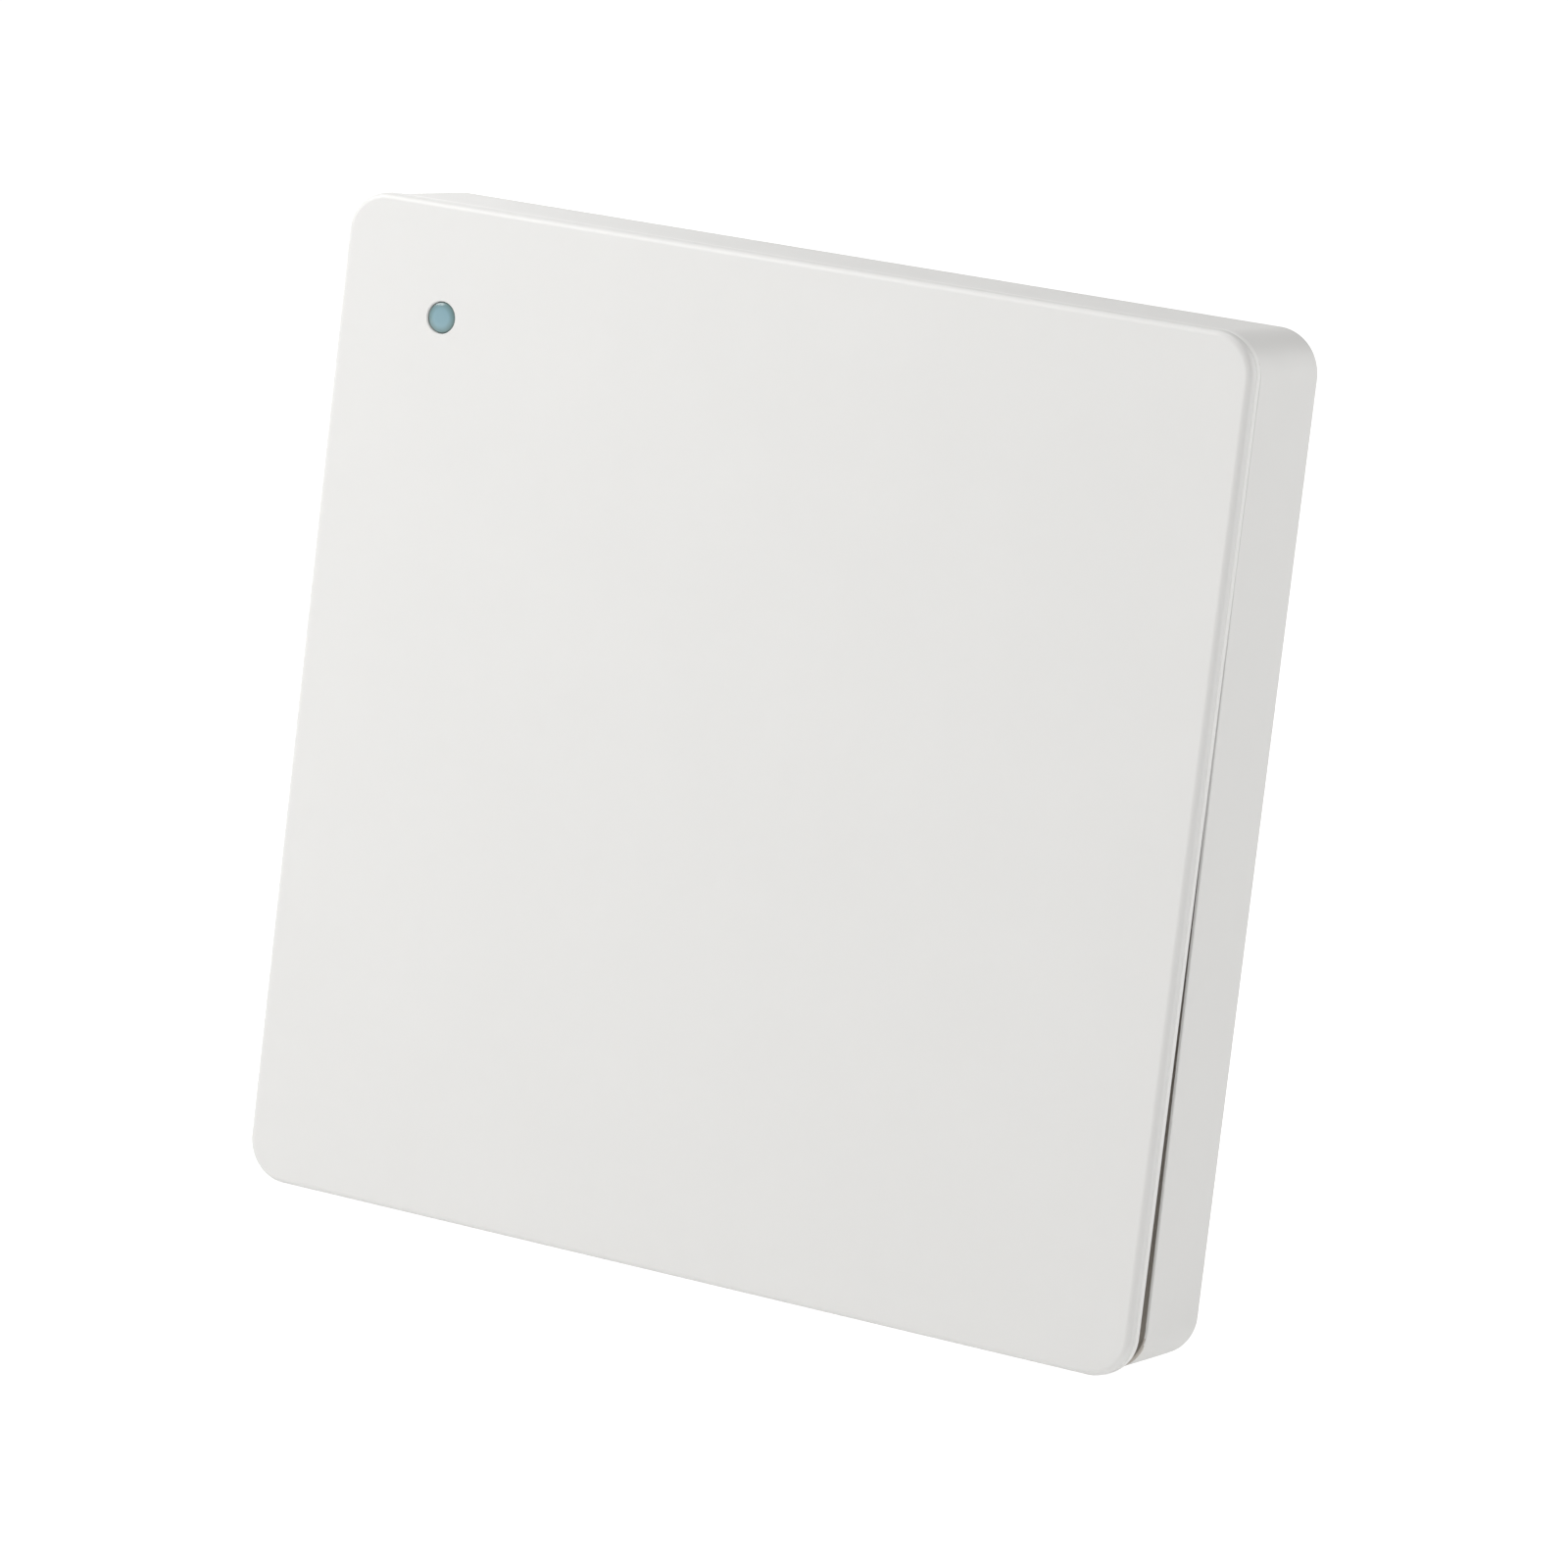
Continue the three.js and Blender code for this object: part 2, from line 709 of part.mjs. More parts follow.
const radioChip = () => slab(roundedRect(5, 5, 0.2), -0.85, 0, 1);
const clockCrystal = () => slab(roundedRect(5, 3.2, 1.2), -1.2, 0);
const bulkCapacitor = () => slab(roundedRect(6, 3.2, 0.3), -2.5, 0, 1);

// Wire aerial wound like a spring along Z, one end turned down to the board.
function antennaCoil() {
  const axis = aerialRadius + aerialWire + aerialLift;
  const winding = coil(aerialRadius, aerialWire, aerialLength, aerialTurns);
  return joined(
    solid(winding.translate(0, axis, 0)),
    disc(aerialWire, -axis, 0, aerialRadius, 0),
  );
}

// Stands on the front of the board, at depth 0.
const statusLed = () => slab(roundedRect(3, 1.5, 0.2), 0, 0.9, 1);

// ---- Key switch and pairing switch ----

// Square moulded cup, its rear at depth 0; the well holds the stem's flange.
function switchBody(size, height, wellRadius, wellDepth) {
  return cut(
    slab(roundedRect(size, size, 0.3), 0, height, 1),
    disc(wellRadius, height - wellDepth, height + clear),
  );
}

// Thin metal cover with a round hole and two skirts down the cup's sides, its rear at depth 0.
function switchFrame(size, thickness, holeRadius, skirt) {
  const halfSkirt = size / 3;
  const inner = size / 2 + seatGap;
  const outer = inner + thickness;
  return cut(
    joined(
      slab(roundedRect(2 * outer, size, 0.1), 0, thickness, 1),
      block(inner, outer, -halfSkirt, halfSkirt, -skirt, eps),
      block(-outer, -inner, -halfSkirt, halfSkirt, -skirt, eps),
    ),
    disc(holeRadius, -clear, thickness + clear),
  );
}

// Thin steel dome between the well's floor and the stem.
function keyDome() {
  const [thickness, steps] = [0.12, 6];
  const foot = keyBodyFront - keyWellDepth + seatGap;
  const crown = keyFlangeRear - seatGap;
  const quarter = (radius, rise) => Array.from({ length: steps + 1 }, (_, i) => {
    const angle = (i / steps) * Math.PI / 2;
    return [i < steps ? radius * Math.cos(angle) : 0, foot + rise * Math.sin(angle)];
  });
  const rim = keyWellRadius - slipGap;
  const inside = quarter(rim - thickness, crown - foot - thickness).reverse();
  return turned([...inside, ...quarter(rim, crown - foot)], 0, keyZ);
}

function keyPlunger() {
  const flange = keyWellRadius - stemGap;
  return turned([
    [0, keyFlangeRear],
    [flange, keyFlangeRear],
    [flange, keyFlangeFront],
    [keyStemRadius, keyFlangeFront],
    [keyStemRadius, keyStemFront - slipGap],
    [keyStemRadius - slipGap, keyStemFront],
    [0, keyStemFront],
  ], 0, keyZ);
}

// Small button that a pin reaches through the wall plate's hole.
function pairButton() {
  const rear = wallPlateThickness + pairStemRest;
  const flange = [pairBodyRear + seatGap, pairBodyRear + pairFlange + seatGap];
  return turned([
    [0, rear],
    [pairStemRadius - stemGap, rear],
    [pairStemRadius, rear + stemGap],
    [pairStemRadius, flange[0]],
    [pairStemRadius + pairFlange, flange[0]],
    [pairStemRadius + pairFlange, flange[1]],
    [0, flange[1]],
  ], pairX, pairZ);
}

// ---- Springs, bumpers, light ----

function returnSpring() {
  const rear = deckFront - springWellDepth + seatGap + springWire;
  const front = carrierRear - seatGap - springWire;
  const winding = coil(springRadius, springWire, front - rear, springTurns);
  return solid(winding.rotateX(Math.PI / 2).translate(0, -rear, 0));
}

function bumper() {
  const rear = deckFront - bumperSeat + seatGap;
  const front = carrierRear - pressAt(bumperZ - bumperRadius) - bumperRest;
  return turned([
    [0, rear],
    [bumperRadius, rear],
    [bumperRadius, front - 0.3],
    [bumperRadius - 0.5, front],
    [0, front],
  ]);
}

// Clear rod from the LED up to the lens, its collar on the deck.
function lightPipe() {
  const rear = deckFront - ledPocketLip + seatGap;
  const collarRear = deckFront + seatGap;
  const collarFront = collarRear + lightPipeCollar;
  const front = carrierRear - slipGap / 2;
  return turned([
    [0, rear],
    [lightPipeRadius, rear],
    [lightPipeRadius, collarRear],
    [lightPipeRadius + lightPipeCollar, collarRear],
    [lightPipeRadius + lightPipeCollar, collarFront],
    [lightPipeRadius, collarFront],
    [lightPipeRadius, front],
    [0, front],
  ], lensX, lensZ);
}

// ---- Assembly ----

const rocker = new THREE.Group();
rocker.add(
  makeMesh("rocker_cover", rockerCover(), coverWhite),
  makeMesh("rocker_frame", rockerFrame(), carrierWhite),
  makeMesh("indicator_lens", indicatorLens(), lensTeal),
);

const housing = new THREE.Group();
housing.add(
  makeMesh("housing_shell", housingShell(), shellWhite),
  makeMesh("light_pipe", lightPipe(), clearPipe),
);
for (const [name, side] of [["left", -1], ["right", 1]]) {
  const [atSpring, atBumper] = [[side * springX, 0, springZ], [side * bumperSpread, 0, bumperZ]];
  housing.add(
    makeMesh(`return_spring_${name}`, returnSpring(), springSteel, ...atSpring),
    makeMesh(`bumper_${name}`, bumper(), silicone, ...atBumper),
  );
}

const wallSide = new THREE.Group();
wallSide.add(
  makeMesh("wall_plate", wallPlate(), plateWhite),
  makeMesh("adhesive_pad_upper", adhesivePad(), foamGrey, 0, 0, padCentre),
  makeMesh("adhesive_pad_lower", adhesivePad(), foamGrey, 0, 0, -padCentre),
);

const board = new THREE.Group();
board.add(
  makeMesh("circuit_board", circuitBoard(), boardGreen),
  makeMesh("coin_cell", coinCell(), steel),
  makeMesh("battery_holder", batteryHolder(), blackPlastic),
  makeMesh("battery_contact_positive", positiveContact(), springSteel),
  makeMesh("battery_contact_negative", negativeContact(), springSteel),
  makeMesh("radio_shield", radioShield(), steel, 18, boardRearSeat, 22),
  makeMesh("radio_chip", radioChip(), blackPlastic, 18, boardRearSeat, 22),
  makeMesh("clock_crystal", clockCrystal(), steel, 6, boardRearSeat, 20),
  makeMesh("bulk_capacitor_1", bulkCapacitor(), tantalum, -6, boardRearSeat, 24),
  makeMesh("bulk_capacitor_2", bulkCapacitor(), tantalum, -6, boardRearSeat, 18),
  makeMesh("antenna_coil", antennaCoil(), goldWire, 31, boardRearSeat, 17),
  makeMesh("status_led", statusLed(), ledYellow, lensX, boardFrontSeat, lensZ),
);
screwPlaces.forEach(([x, z], i) => {
  board.add(makeMesh(`board_screw_${i + 1}`, boardScrew(), steel, x, boardRearSeat, z));
});

const keyBody = switchBody(keyBodySize, keyBodyHeight, keyWellRadius, keyWellDepth);
const keyFrame = switchFrame(keyBodySize, keyFrameThickness, keyStemRadius + stemGap, 1.4);
const keySwitch = new THREE.Group();
keySwitch.add(
  makeMesh("key_switch_body", keyBody, blackPlastic, 0, boardFrontSeat, keyZ),
  makeMesh("key_switch_frame", keyFrame, steel, 0, keyFrameRear, keyZ),
  makeMesh("key_switch_dome", keyDome(), springSteel),
  makeMesh("key_plunger", keyPlunger(), blackPlastic),
);

const pairWellRadius = pairStemRadius + pairFlange + stemGap;
const pairBody = switchBody(pairBodySize, pairBodyHeight, pairWellRadius, pairWellDepth);
const pairFrame = switchFrame(pairBodySize, pairFrameThickness, pairStemRadius + stemGap, 0.7);
const pairFacing = new THREE.Group(); // turned over, to open towards the wall
pairFacing.rotation.x = Math.PI;
pairFacing.position.set(pairX, -boardRearSeat, pairZ);
pairFacing.add(
  makeMesh("pair_switch_body", pairBody, blackPlastic),
  makeMesh("pair_switch_frame", pairFrame, steel, 0, pairBodyHeight + seatGap, 0),
);

board.add(keySwitch, pairFacing, makeMesh("pair_button", pairButton(), blackPlastic));
housing.add(board);

const panel = new THREE.Group();
panel.add(rocker, housing, wallSide);

export default panel;
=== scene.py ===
import math
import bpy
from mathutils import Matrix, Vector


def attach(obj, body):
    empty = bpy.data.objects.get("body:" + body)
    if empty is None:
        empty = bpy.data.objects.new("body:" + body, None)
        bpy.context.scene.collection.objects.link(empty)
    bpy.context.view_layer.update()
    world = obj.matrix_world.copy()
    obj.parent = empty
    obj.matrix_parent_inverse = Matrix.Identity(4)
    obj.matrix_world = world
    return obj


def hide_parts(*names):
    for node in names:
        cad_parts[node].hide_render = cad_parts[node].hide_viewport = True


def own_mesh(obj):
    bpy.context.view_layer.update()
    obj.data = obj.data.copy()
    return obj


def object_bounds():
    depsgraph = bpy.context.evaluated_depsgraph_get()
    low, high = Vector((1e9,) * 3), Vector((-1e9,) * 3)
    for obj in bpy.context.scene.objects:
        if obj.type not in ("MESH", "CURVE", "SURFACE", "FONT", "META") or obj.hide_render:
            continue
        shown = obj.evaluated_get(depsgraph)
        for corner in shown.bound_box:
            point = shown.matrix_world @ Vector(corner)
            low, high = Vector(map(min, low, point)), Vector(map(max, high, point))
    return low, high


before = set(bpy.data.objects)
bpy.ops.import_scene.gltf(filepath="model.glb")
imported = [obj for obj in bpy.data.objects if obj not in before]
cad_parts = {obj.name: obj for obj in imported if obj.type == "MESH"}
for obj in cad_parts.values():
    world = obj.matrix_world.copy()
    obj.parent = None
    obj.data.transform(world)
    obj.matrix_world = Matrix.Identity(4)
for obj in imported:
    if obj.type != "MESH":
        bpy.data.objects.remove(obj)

from types import SimpleNamespace
import bmesh
import bpy
from mathutils import Matrix, Vector

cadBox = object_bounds()

# Shapes are drawn in millimetres and scaled to metres when a piece is finished.
# A depth is a distance from the wall, so it lies at y = -depth.
mm = 0.001
near = 1e-4  # two places closer than this are the same
wholeTurn = 2 * math.pi


def named(facts):
    # a dictionary's values, read as s.name
    return SimpleNamespace(**facts)


# ---- drawing tools ----

def fresh(bm, before):
    return [v for v in bm.verts if v not in before]


def facesOf(verts):
    return list({f for v in verts for f in v.link_faces})


def vertsIn(geometry):
    return [g for g in geometry if isinstance(g, bmesh.types.BMVert)]


def drawn(draw, *facts, **more):
    # a new shape that holds one drawing
    bm = bmesh.new()
    draw(bm, *facts, **more)
    return bm


def arc(*degrees):
    return [math.radians(a) for a in degrees]


def roundOff(bm, edges, radius, steps, clamp):
    bmesh.ops.bevel(
        bm, geom=edges, offset=radius, segments=steps, profile=0.5,
        affect="EDGES", clamp_overlap=clamp, material=-1,
    )


def addSlab(bm, width, height, corner, rear, front, x=0, z=0, steps=12):
    # a flat block between two depths, its four upright corners rounded
    before = set(bm.verts)
    made = bmesh.ops.create_cube(bm, size=1.0)["verts"]
    bmesh.ops.scale(bm, vec=(width, front - rear, height), verts=made)
    bmesh.ops.translate(bm, vec=(x, -(front + rear) / 2, z), verts=made)
    if corner:
        upright = {
            e for v in made for e in v.link_edges
            if abs(e.verts[0].co.y - e.verts[1].co.y) > (front - rear) / 2
        }
        roundOff(bm, list(upright), corner, steps, False)
    return fresh(bm, before)


def addBlock(bm, x0, x1, z0, z1, rear, front):
    return addSlab(bm, x1 - x0, z1 - z0, 0, rear, front, (x0 + x1) / 2, (z0 + z1) / 2)


def addTurned(bm, profile, x=0, z=0, steps=48):
    # a profile of (radius, depth) turned about the axis through x and z
    before = set(bm.verts)
    line = [bm.verts.new((x + radius, -depth, z)) for radius, depth in profile]
    edges = [bm.edges.new(pair) for pair in zip(line, line[1:])]
    bmesh.ops.spin(
        bm, geom=line + edges, cent=(x, 0, z), axis=(0, 1, 0), dvec=(0, 0, 0),
        angle=wholeTurn, steps=steps, use_merge=True,
    )
    bmesh.ops.remove_doubles(bm, verts=fresh(bm, before), dist=1e-5)
    made = fresh(bm, before)
    bmesh.ops.recalc_face_normals(bm, faces=facesOf(made))
    return made


def addDisc(bm, radius, rear, front, x=0, z=0, steps=48):
    return addTurned(bm, [(0, rear), (radius, rear), (radius, front), (0, front)], x, z, steps)


def addRodAlongX(bm, radius, x0, x1, z, depth, steps=32):
    place = Matrix.Translation(((x0 + x1) / 2, -depth, z)) @ Matrix.Rotation(math.pi / 2, 4, "Y")
    return bmesh.ops.create_cone(
        bm, cap_ends=True, segments=steps, radius1=radius, radius2=radius, depth=x1 - x0,
        matrix=place,
    )["verts"]


def addPrismAlongX(bm, points, width, x=0):
    # an outline of (z, depth) points, drawn out over a width about x
    before = set(bm.verts)
    face = bm.faces.new([bm.verts.new((x - width / 2, -depth, z)) for z, depth in points])
    moved = bmesh.ops.extrude_face_region(bm, geom=[face])["geom"]
    bmesh.ops.translate(bm, vec=(width, 0, 0), verts=vertsIn(moved))
    made = fresh(bm, before)
    bmesh.ops.recalc_face_normals(bm, faces=facesOf(made))
    return made


def addSlot(bm, length, width, rear, front, x=0, z=0):
    # a slot cutter with round ends that lies along X
    made = addDisc(bm, width / 2, rear, front, x, z, 32)
    for v in made:
        if abs(v.co.x - x) > 1e-6:
            v.co.x += math.copysign((length - width) / 2, v.co.x - x)
    return made


def addCoil(bm, radius, wire, start, stages, axis, steps=24, sides=10):
    # a round wire wound about an axis through start; stages hold (turns, rise of each turn)
    upY = axis == "Y"
    centre = Vector(start)
    turnAxis = Vector((0, -1, 0)) if upY else Vector((0, 0, 1))
    tilt = Matrix.Identity(4) if upY else Matrix.Rotation(math.pi / 2, 4, "X")
    place = Matrix.Translation(centre + Vector((radius, 0, 0))) @ tilt
    ring = bmesh.ops.create_circle(bm, radius=wire, segments=sides, matrix=place)
    loop = list({e for v in ring["verts"] for e in v.link_edges})
    first = loop
    for turns, rise in stages:
        count = max(2, round(abs(turns) * steps))
        result = bmesh.ops.spin(
            bm, geom=loop + list({v for e in loop for v in e.verts}), cent=centre, axis=turnAxis,
            dvec=turnAxis * (rise * turns / count), angle=turns * wholeTurn, steps=count,
            use_merge=False,
        )
        loop = [g for g in result["geom_last"] if isinstance(g, bmesh.types.BMEdge)]
        centre = centre + turnAxis * rise * turns
    for end in (first, loop):
        bmesh.ops.edgeloop_fill(bm, edges=end)
    bmesh.ops.recalc_face_normals(bm, faces=bm.faces)


def atDepth(depth):
    return lambda co: abs(co.y + depth) < near


def roundEdges(bm, depth, radius, steps):
    # rounds the edges that lie at a depth
    edges = [e for e in bm.edges if all(atDepth(depth)(v.co) for v in e.verts)]
    roundOff(bm, edges, radius, steps, True)


def scaleAt(bm, depth, across, up=1):
    # draws the corners at a depth together
    verts = [v for v in bm.verts if atDepth(depth)(v.co)]
    bmesh.ops.scale(bm, vec=(across, 1, up), verts=verts)


def splitAt(bm, place, way):
    # adds a loop of edges where a plane passes
    bmesh.ops.bisect_plane(
        bm, geom=[*bm.verts, *bm.edges, *bm.faces], dist=near, plane_co=place, plane_no=way,
    )


def sinkFace(bm, depth, inset, newDepth):
    # insets the largest face at a depth and pushes it to another depth, as a pocket or a step
    flat = [f for f in bm.faces if all(atDepth(depth)(v.co) for v in f.verts)]
    face = max(flat, key=lambda f: f.calc_area())
    bmesh.ops.inset_region(bm, faces=[face], thickness=inset, use_even_offset=True)
    moved = bmesh.ops.extrude_face_region(bm, geom=[face, *face.edges])["geom"]
    bmesh.ops.translate(bm, vec=(0, depth - newDepth, 0), verts=vertsIn(moved))


# ---- piece tools ----

def makeObject(bm, name):
    mesh = bpy.data.meshes.new(name)
    bm.to_mesh(mesh)
    bm.free()
    piece = bpy.data.objects.new(name, mesh)
    bpy.context.scene.collection.objects.link(piece)
    return piece


def dropObject(piece):
    mesh = piece.data
    bpy.data.objects.remove(piece)
    bpy.data.meshes.remove(mesh)


def settle(piece):
    # the modifiers' result becomes the piece's own mesh
    graph = bpy.context.evaluated_depsgraph_get()
    mesh = bpy.data.meshes.new_from_object(piece.evaluated_get(graph))
    old = piece.data
    piece.modifiers.clear()
    piece.data = mesh
    bpy.data.meshes.remove(old)
    mesh.name = piece.name


def combine(piece, bm, operation):
    tool = makeObject(bm, "tool")
    modifier = piece.modifiers.new("combine", "BOOLEAN")
    modifier.operation = operation
    modifier.solver = "EXACT"
    modifier.use_self = True
    modifier.object = tool
    settle(piece)
    dropObject(tool)


def take(bm, piece):
    # a helper shape goes into another drawing
    bm.from_mesh(piece.data)
    dropObject(piece)


def copyOfNode(node, name):
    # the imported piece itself, its doubled corners merged and its flat faces joined up
    bm = bmesh.new()
    bm.from_mesh(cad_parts[node].data)
    bmesh.ops.scale(bm, vec=[1 / mm] * 3, verts=bm.verts)
    bmesh.ops.remove_doubles(bm, verts=bm.verts, dist=1e-3)
    bmesh.ops.dissolve_limit(bm, angle_limit=math.radians(0.5), verts=bm.verts, edges=bm.edges)
    return makeObject(bm, name)


def paint(piece, index, chosen):
    # gives the faces whose middle is chosen another of the piece's finishes; points in mm
    for face in piece.data.polygons:
        if chosen(face.center / mm, face.normal):
            face.material_index = index


sharpAngle = math.radians(35)


def finishPiece(piece, slot, node, *finishNames, body="housing", edge=0.0):
    # softens a piece, dresses it and hands it over in place of its node
    piece.data.transform(Matrix.Scale(mm, 4))
    if edge:
        modifier = piece.modifiers.new("edges", "BEVEL")
        modifier.width = edge * mm
        modifier.segments = 2
        modifier.limit_method = "ANGLE"
        modifier.angle_limit = sharpAngle
        modifier.use_clamp_overlap = True
        settle(piece)
    piece.data.shade_smooth()
    piece.data.set_sharp_from_angle(angle=sharpAngle)
    modifier = piece.modifiers.new("normals", "WEIGHTED_NORMAL")
    modifier.keep_sharp = True
    settle(piece)
    piece.data.materials.clear()
    for name in finishNames:
        piece.data.materials.append(finishes[name])
    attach(piece, body)
    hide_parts(node)
    count = sum(len(p.vertices) - 2 for p in piece.data.polygons)
    print(f"{piece.name}: {count} triangles")


# ---- material tools ----

finishes = {}


def feed(tree, node, sockets):
    # each socket takes another node's output, or a constant
    for name, value in sockets.items():
        if isinstance(value, bpy.types.NodeSocket):
            tree.links.new(value, node.inputs[name])
        else:
            node.inputs[name].default_value = value


def addNode(tree, kind, sockets, **facts):
    # a node whose first output is what counts
    node = tree.nodes.new("ShaderNode" + kind)
    for name, value in facts.items():
        setattr(node, name, value)
    feed(tree, node, sockets)
    return node.outputs[0]


def newMaterial(name):
    material = bpy.data.materials.new(name)
    material.use_nodes = True
    finishes[name] = material
    return material.node_tree


def dress(tree, sockets):
    feed(tree, tree.nodes["Principled BSDF"], sockets)


def forCamera(tree, seen, unseen):
    # one shader for what the camera sees, and another for the light that goes round
    path = tree.nodes.new("ShaderNodeLightPath")
    return addNode(tree, "MixShader", {0: path.outputs["Is Camera Ray"], 1: unseen, 2: seen})


def objectPoints(tree, scale=(1, 1, 1), offset=(0, 0, 0)):
    where = tree.nodes.new("ShaderNodeTexCoord").outputs["Object"]
    return addNode(tree, "Mapping", {"Scale": scale, "Location": offset, "Vector": where})


def noise(tree, points, size, detail=2.0, rough=0.5):
    return addNode(tree, "TexNoise", {
        "Scale": 1.0 / size, "Detail": detail, "Roughness": rough, "Vector": points,
    })


def cells(tree, points, size, metric="EUCLIDEAN", randomness=1.0):
    return addNode(tree, "TexVoronoi", {
        "Scale": 1.0 / size, "Randomness": randomness, "Vector": points,
    }, distance=metric)


def spread(tree, value, low, high, fromLow=0.3, fromHigh=0.7):
    return addNode(tree, "MapRange", {
        "From Min": fromLow, "From Max": fromHigh, "To Min": low, "To Max": high, "Value": value,
    })


def mixColors(tree, factor, first, second):
    node = tree.nodes.new("ShaderNodeMix")
    node.data_type = "RGBA"
    tree.links.new(factor, node.inputs["Factor"])
    for socket, color in (("A", first), ("B", second)):
        target = next(i for i in node.inputs if i.name == socket and i.type == "RGBA")
        if isinstance(color, tuple):
            target.default_value = (*color, 1)
        else:
            tree.links.new(color, target)
    return next(o for o in node.outputs if o.type == "RGBA")


def darker(tree, factor, color, shade):
    return mixColors(tree, factor, tuple(c * shade for c in color), color)


def bumps(tree, height, strength, distance, under=None):
    sockets = {"Strength": strength, "Distance": distance, "Height": height}
    if under is not None:
        sockets["Normal"] = under
    return addNode(tree, "Bump", sockets)


# ---- camera, lights and floor ----

cameraSet = dict(
    place=(0.31358, -0.57623, 0.09781),
    forward=(-0.47475, 0.86715, -0.15057),
    up=(-0.17460, 0.07488, 0.98179),  # leans a little, so the panel leans in the picture
    lens=180.4,
    sensor=36,
    reach=(0.01, 50),
)


def addCamera():
    s = named(cameraSet)
    data = bpy.data.cameras.new("camera")
    data.lens = s.lens
    data.sensor_width = s.sensor
    data.clip_start, data.clip_end = s.reach
    camera = bpy.data.objects.new("camera", data)
    bpy.context.scene.collection.objects.link(camera)
    forward = Vector(s.forward).normalized()
    right = forward.cross(Vector(s.up)).normalized()
    turn = Matrix((right, right.cross(forward), -forward)).transposed()
    camera.matrix_world = Matrix.Translation(s.place) @ turn.to_4x4()
    bpy.context.scene.camera = camera


# each lamp: where it stands, its width and height in metres, its power
lampSet = {
    "keyBox": ((-0.28, -0.225, 0.255), (0.26, 0.26), 1.25),
    "topBox": ((0.0, 0.1, 1.0), (0.9, 0.6), 2.2),
    "rightBox": ((0.85, -0.55, 0.2), (0.5, 0.5), 1.9),
    "leftRim": ((-0.9, 0.7, 0.25), (0.8, 0.8), 3.0),
    "rightRim": ((0.55, 1.0, 0.2), (0.8, 0.8), 2.9),
}


def addLamps():
    for name, (place, size, power) in lampSet.items():
        data = bpy.data.lights.new(name, "AREA")
        data.shape = "RECTANGLE"
        data.size, data.size_y = size
        data.energy = power
        lamp = bpy.data.objects.new(name, data)
        bpy.context.scene.collection.objects.link(lamp)
        lamp.rotation_mode = "QUATERNION"
        lamp.rotation_quaternion = (-Vector(place)).to_track_quat("-Z", "Y")
        lamp.location = place


worldSet = dict(color=(1.0, 0.995, 0.985, 1), strength=0.31)


def addWorld():
    world = bpy.data.worlds.new("studioWorld")
    world.use_nodes = True
    tree = world.node_tree
    background = tree.nodes["Background"]
    feed(tree, background, {"Color": worldSet["color"], "Strength": worldSet["strength"]})
    # seen straight on, the wall behind is plain white
    white = addNode(tree, "Background", {"Color": (1, 1, 1, 1)})
    either = forCamera(tree, white, background.outputs[0])
    feed(tree, tree.nodes["World Output"], {"Surface": either})
    bpy.context.scene.world = world


floorSet = dict(
    color=(0.6, 0.6, 0.595, 1),
    roughness=0.9,
    gloss=0.1,
    glow=0.85,
    glowReturn=0.4,  # how much of the glow reaches the panel
    size=8.0,
)


def addFloor():
    s = named(floorSet)
    bm = bmesh.new()
    bmesh.ops.create_grid(bm, x_segments=1, y_segments=1, size=s.size)
    floor = makeObject(bm, "floor")
    floor.location.z = cadBox[0].z
    tree = newMaterial("floorPaper")
    shader = tree.nodes["Principled BSDF"]
    dress(tree, {"Base Color": s.color, "Roughness": s.roughness, "Specular IOR Level": s.gloss})
    # the paper glows to the eye, and throws less light back on the panel
    glow = addNode(tree, "Emission", {"Strength": s.glow})
    faint = addNode(tree, "Emission", {"Strength": s.glowReturn})
    either = forCamera(tree, glow, faint)
    lit = addNode(tree, "AddShader", {0: shader.outputs[0], 1: either})
    # from underneath it lets everything through
    facing = tree.nodes.new("ShaderNodeNewGeometry").outputs["Backfacing"]
    through = addNode(tree, "BsdfTransparent", {})
    surface = addNode(tree, "MixShader", {0: facing, 1: lit, 2: through})
    feed(tree, tree.nodes["Material Output"], {"Surface": surface})
    floor.data.materials.append(finishes["floorPaper"])


addCamera()
addLamps()
addWorld()
addFloor()
bpy.context.scene.view_settings.view_transform = "Standard"
print("camera, lamps and floor are in place")


# ---- finishes ----

def mouldedPlastic(name, color, roughness=0.42, grain=0.22, depth=0.004, shade=0.99, soft=0.0):
    # faint cloudiness, an even spark texture and slight flow waves; grain and depth in mm
    tree = newMaterial(name)
    points = objectPoints(tree)
    cloud = spread(tree, noise(tree, points, 12 * mm, 3), 0, 1)
    patch = noise(tree, points, 4 * mm, 3)
    flow = bumps(tree, noise(tree, points, 20 * mm, 1), 0.2, 0.05 * mm)
    fine = noise(tree, points, grain * mm, 2)
    dress(tree, {
        "Base Color": darker(tree, cloud, color, shade),
        "Roughness": spread(tree, patch, roughness - 0.03, roughness + 0.04),
        "Normal": bumps(tree, fine, 0.35, depth * mm, flow),
        "Specular IOR Level": 0.45,
    })
    if soft:
        reach = (0.9 * mm, 0.8 * mm, 0.7 * mm)
        dress(tree, {"Subsurface Weight": soft, "Subsurface Radius": reach})


def brushedMetal(name, color, roughness=0.3, along=(1, 1, 1), size=0.25):
    # metal with fine lines; a small number in along stretches them that way
    tree = newMaterial(name)
    lines = noise(tree, objectPoints(tree, along), size * mm, 3, 0.6)
    dress(tree, {
        "Base Color": darker(tree, lines, color, 0.8),
        "Roughness": spread(tree, lines, roughness - 0.08, roughness + 0.1),
        "Normal": bumps(tree, lines, 0.4, 0.003 * mm),
        "Metallic": 1.0,
    })


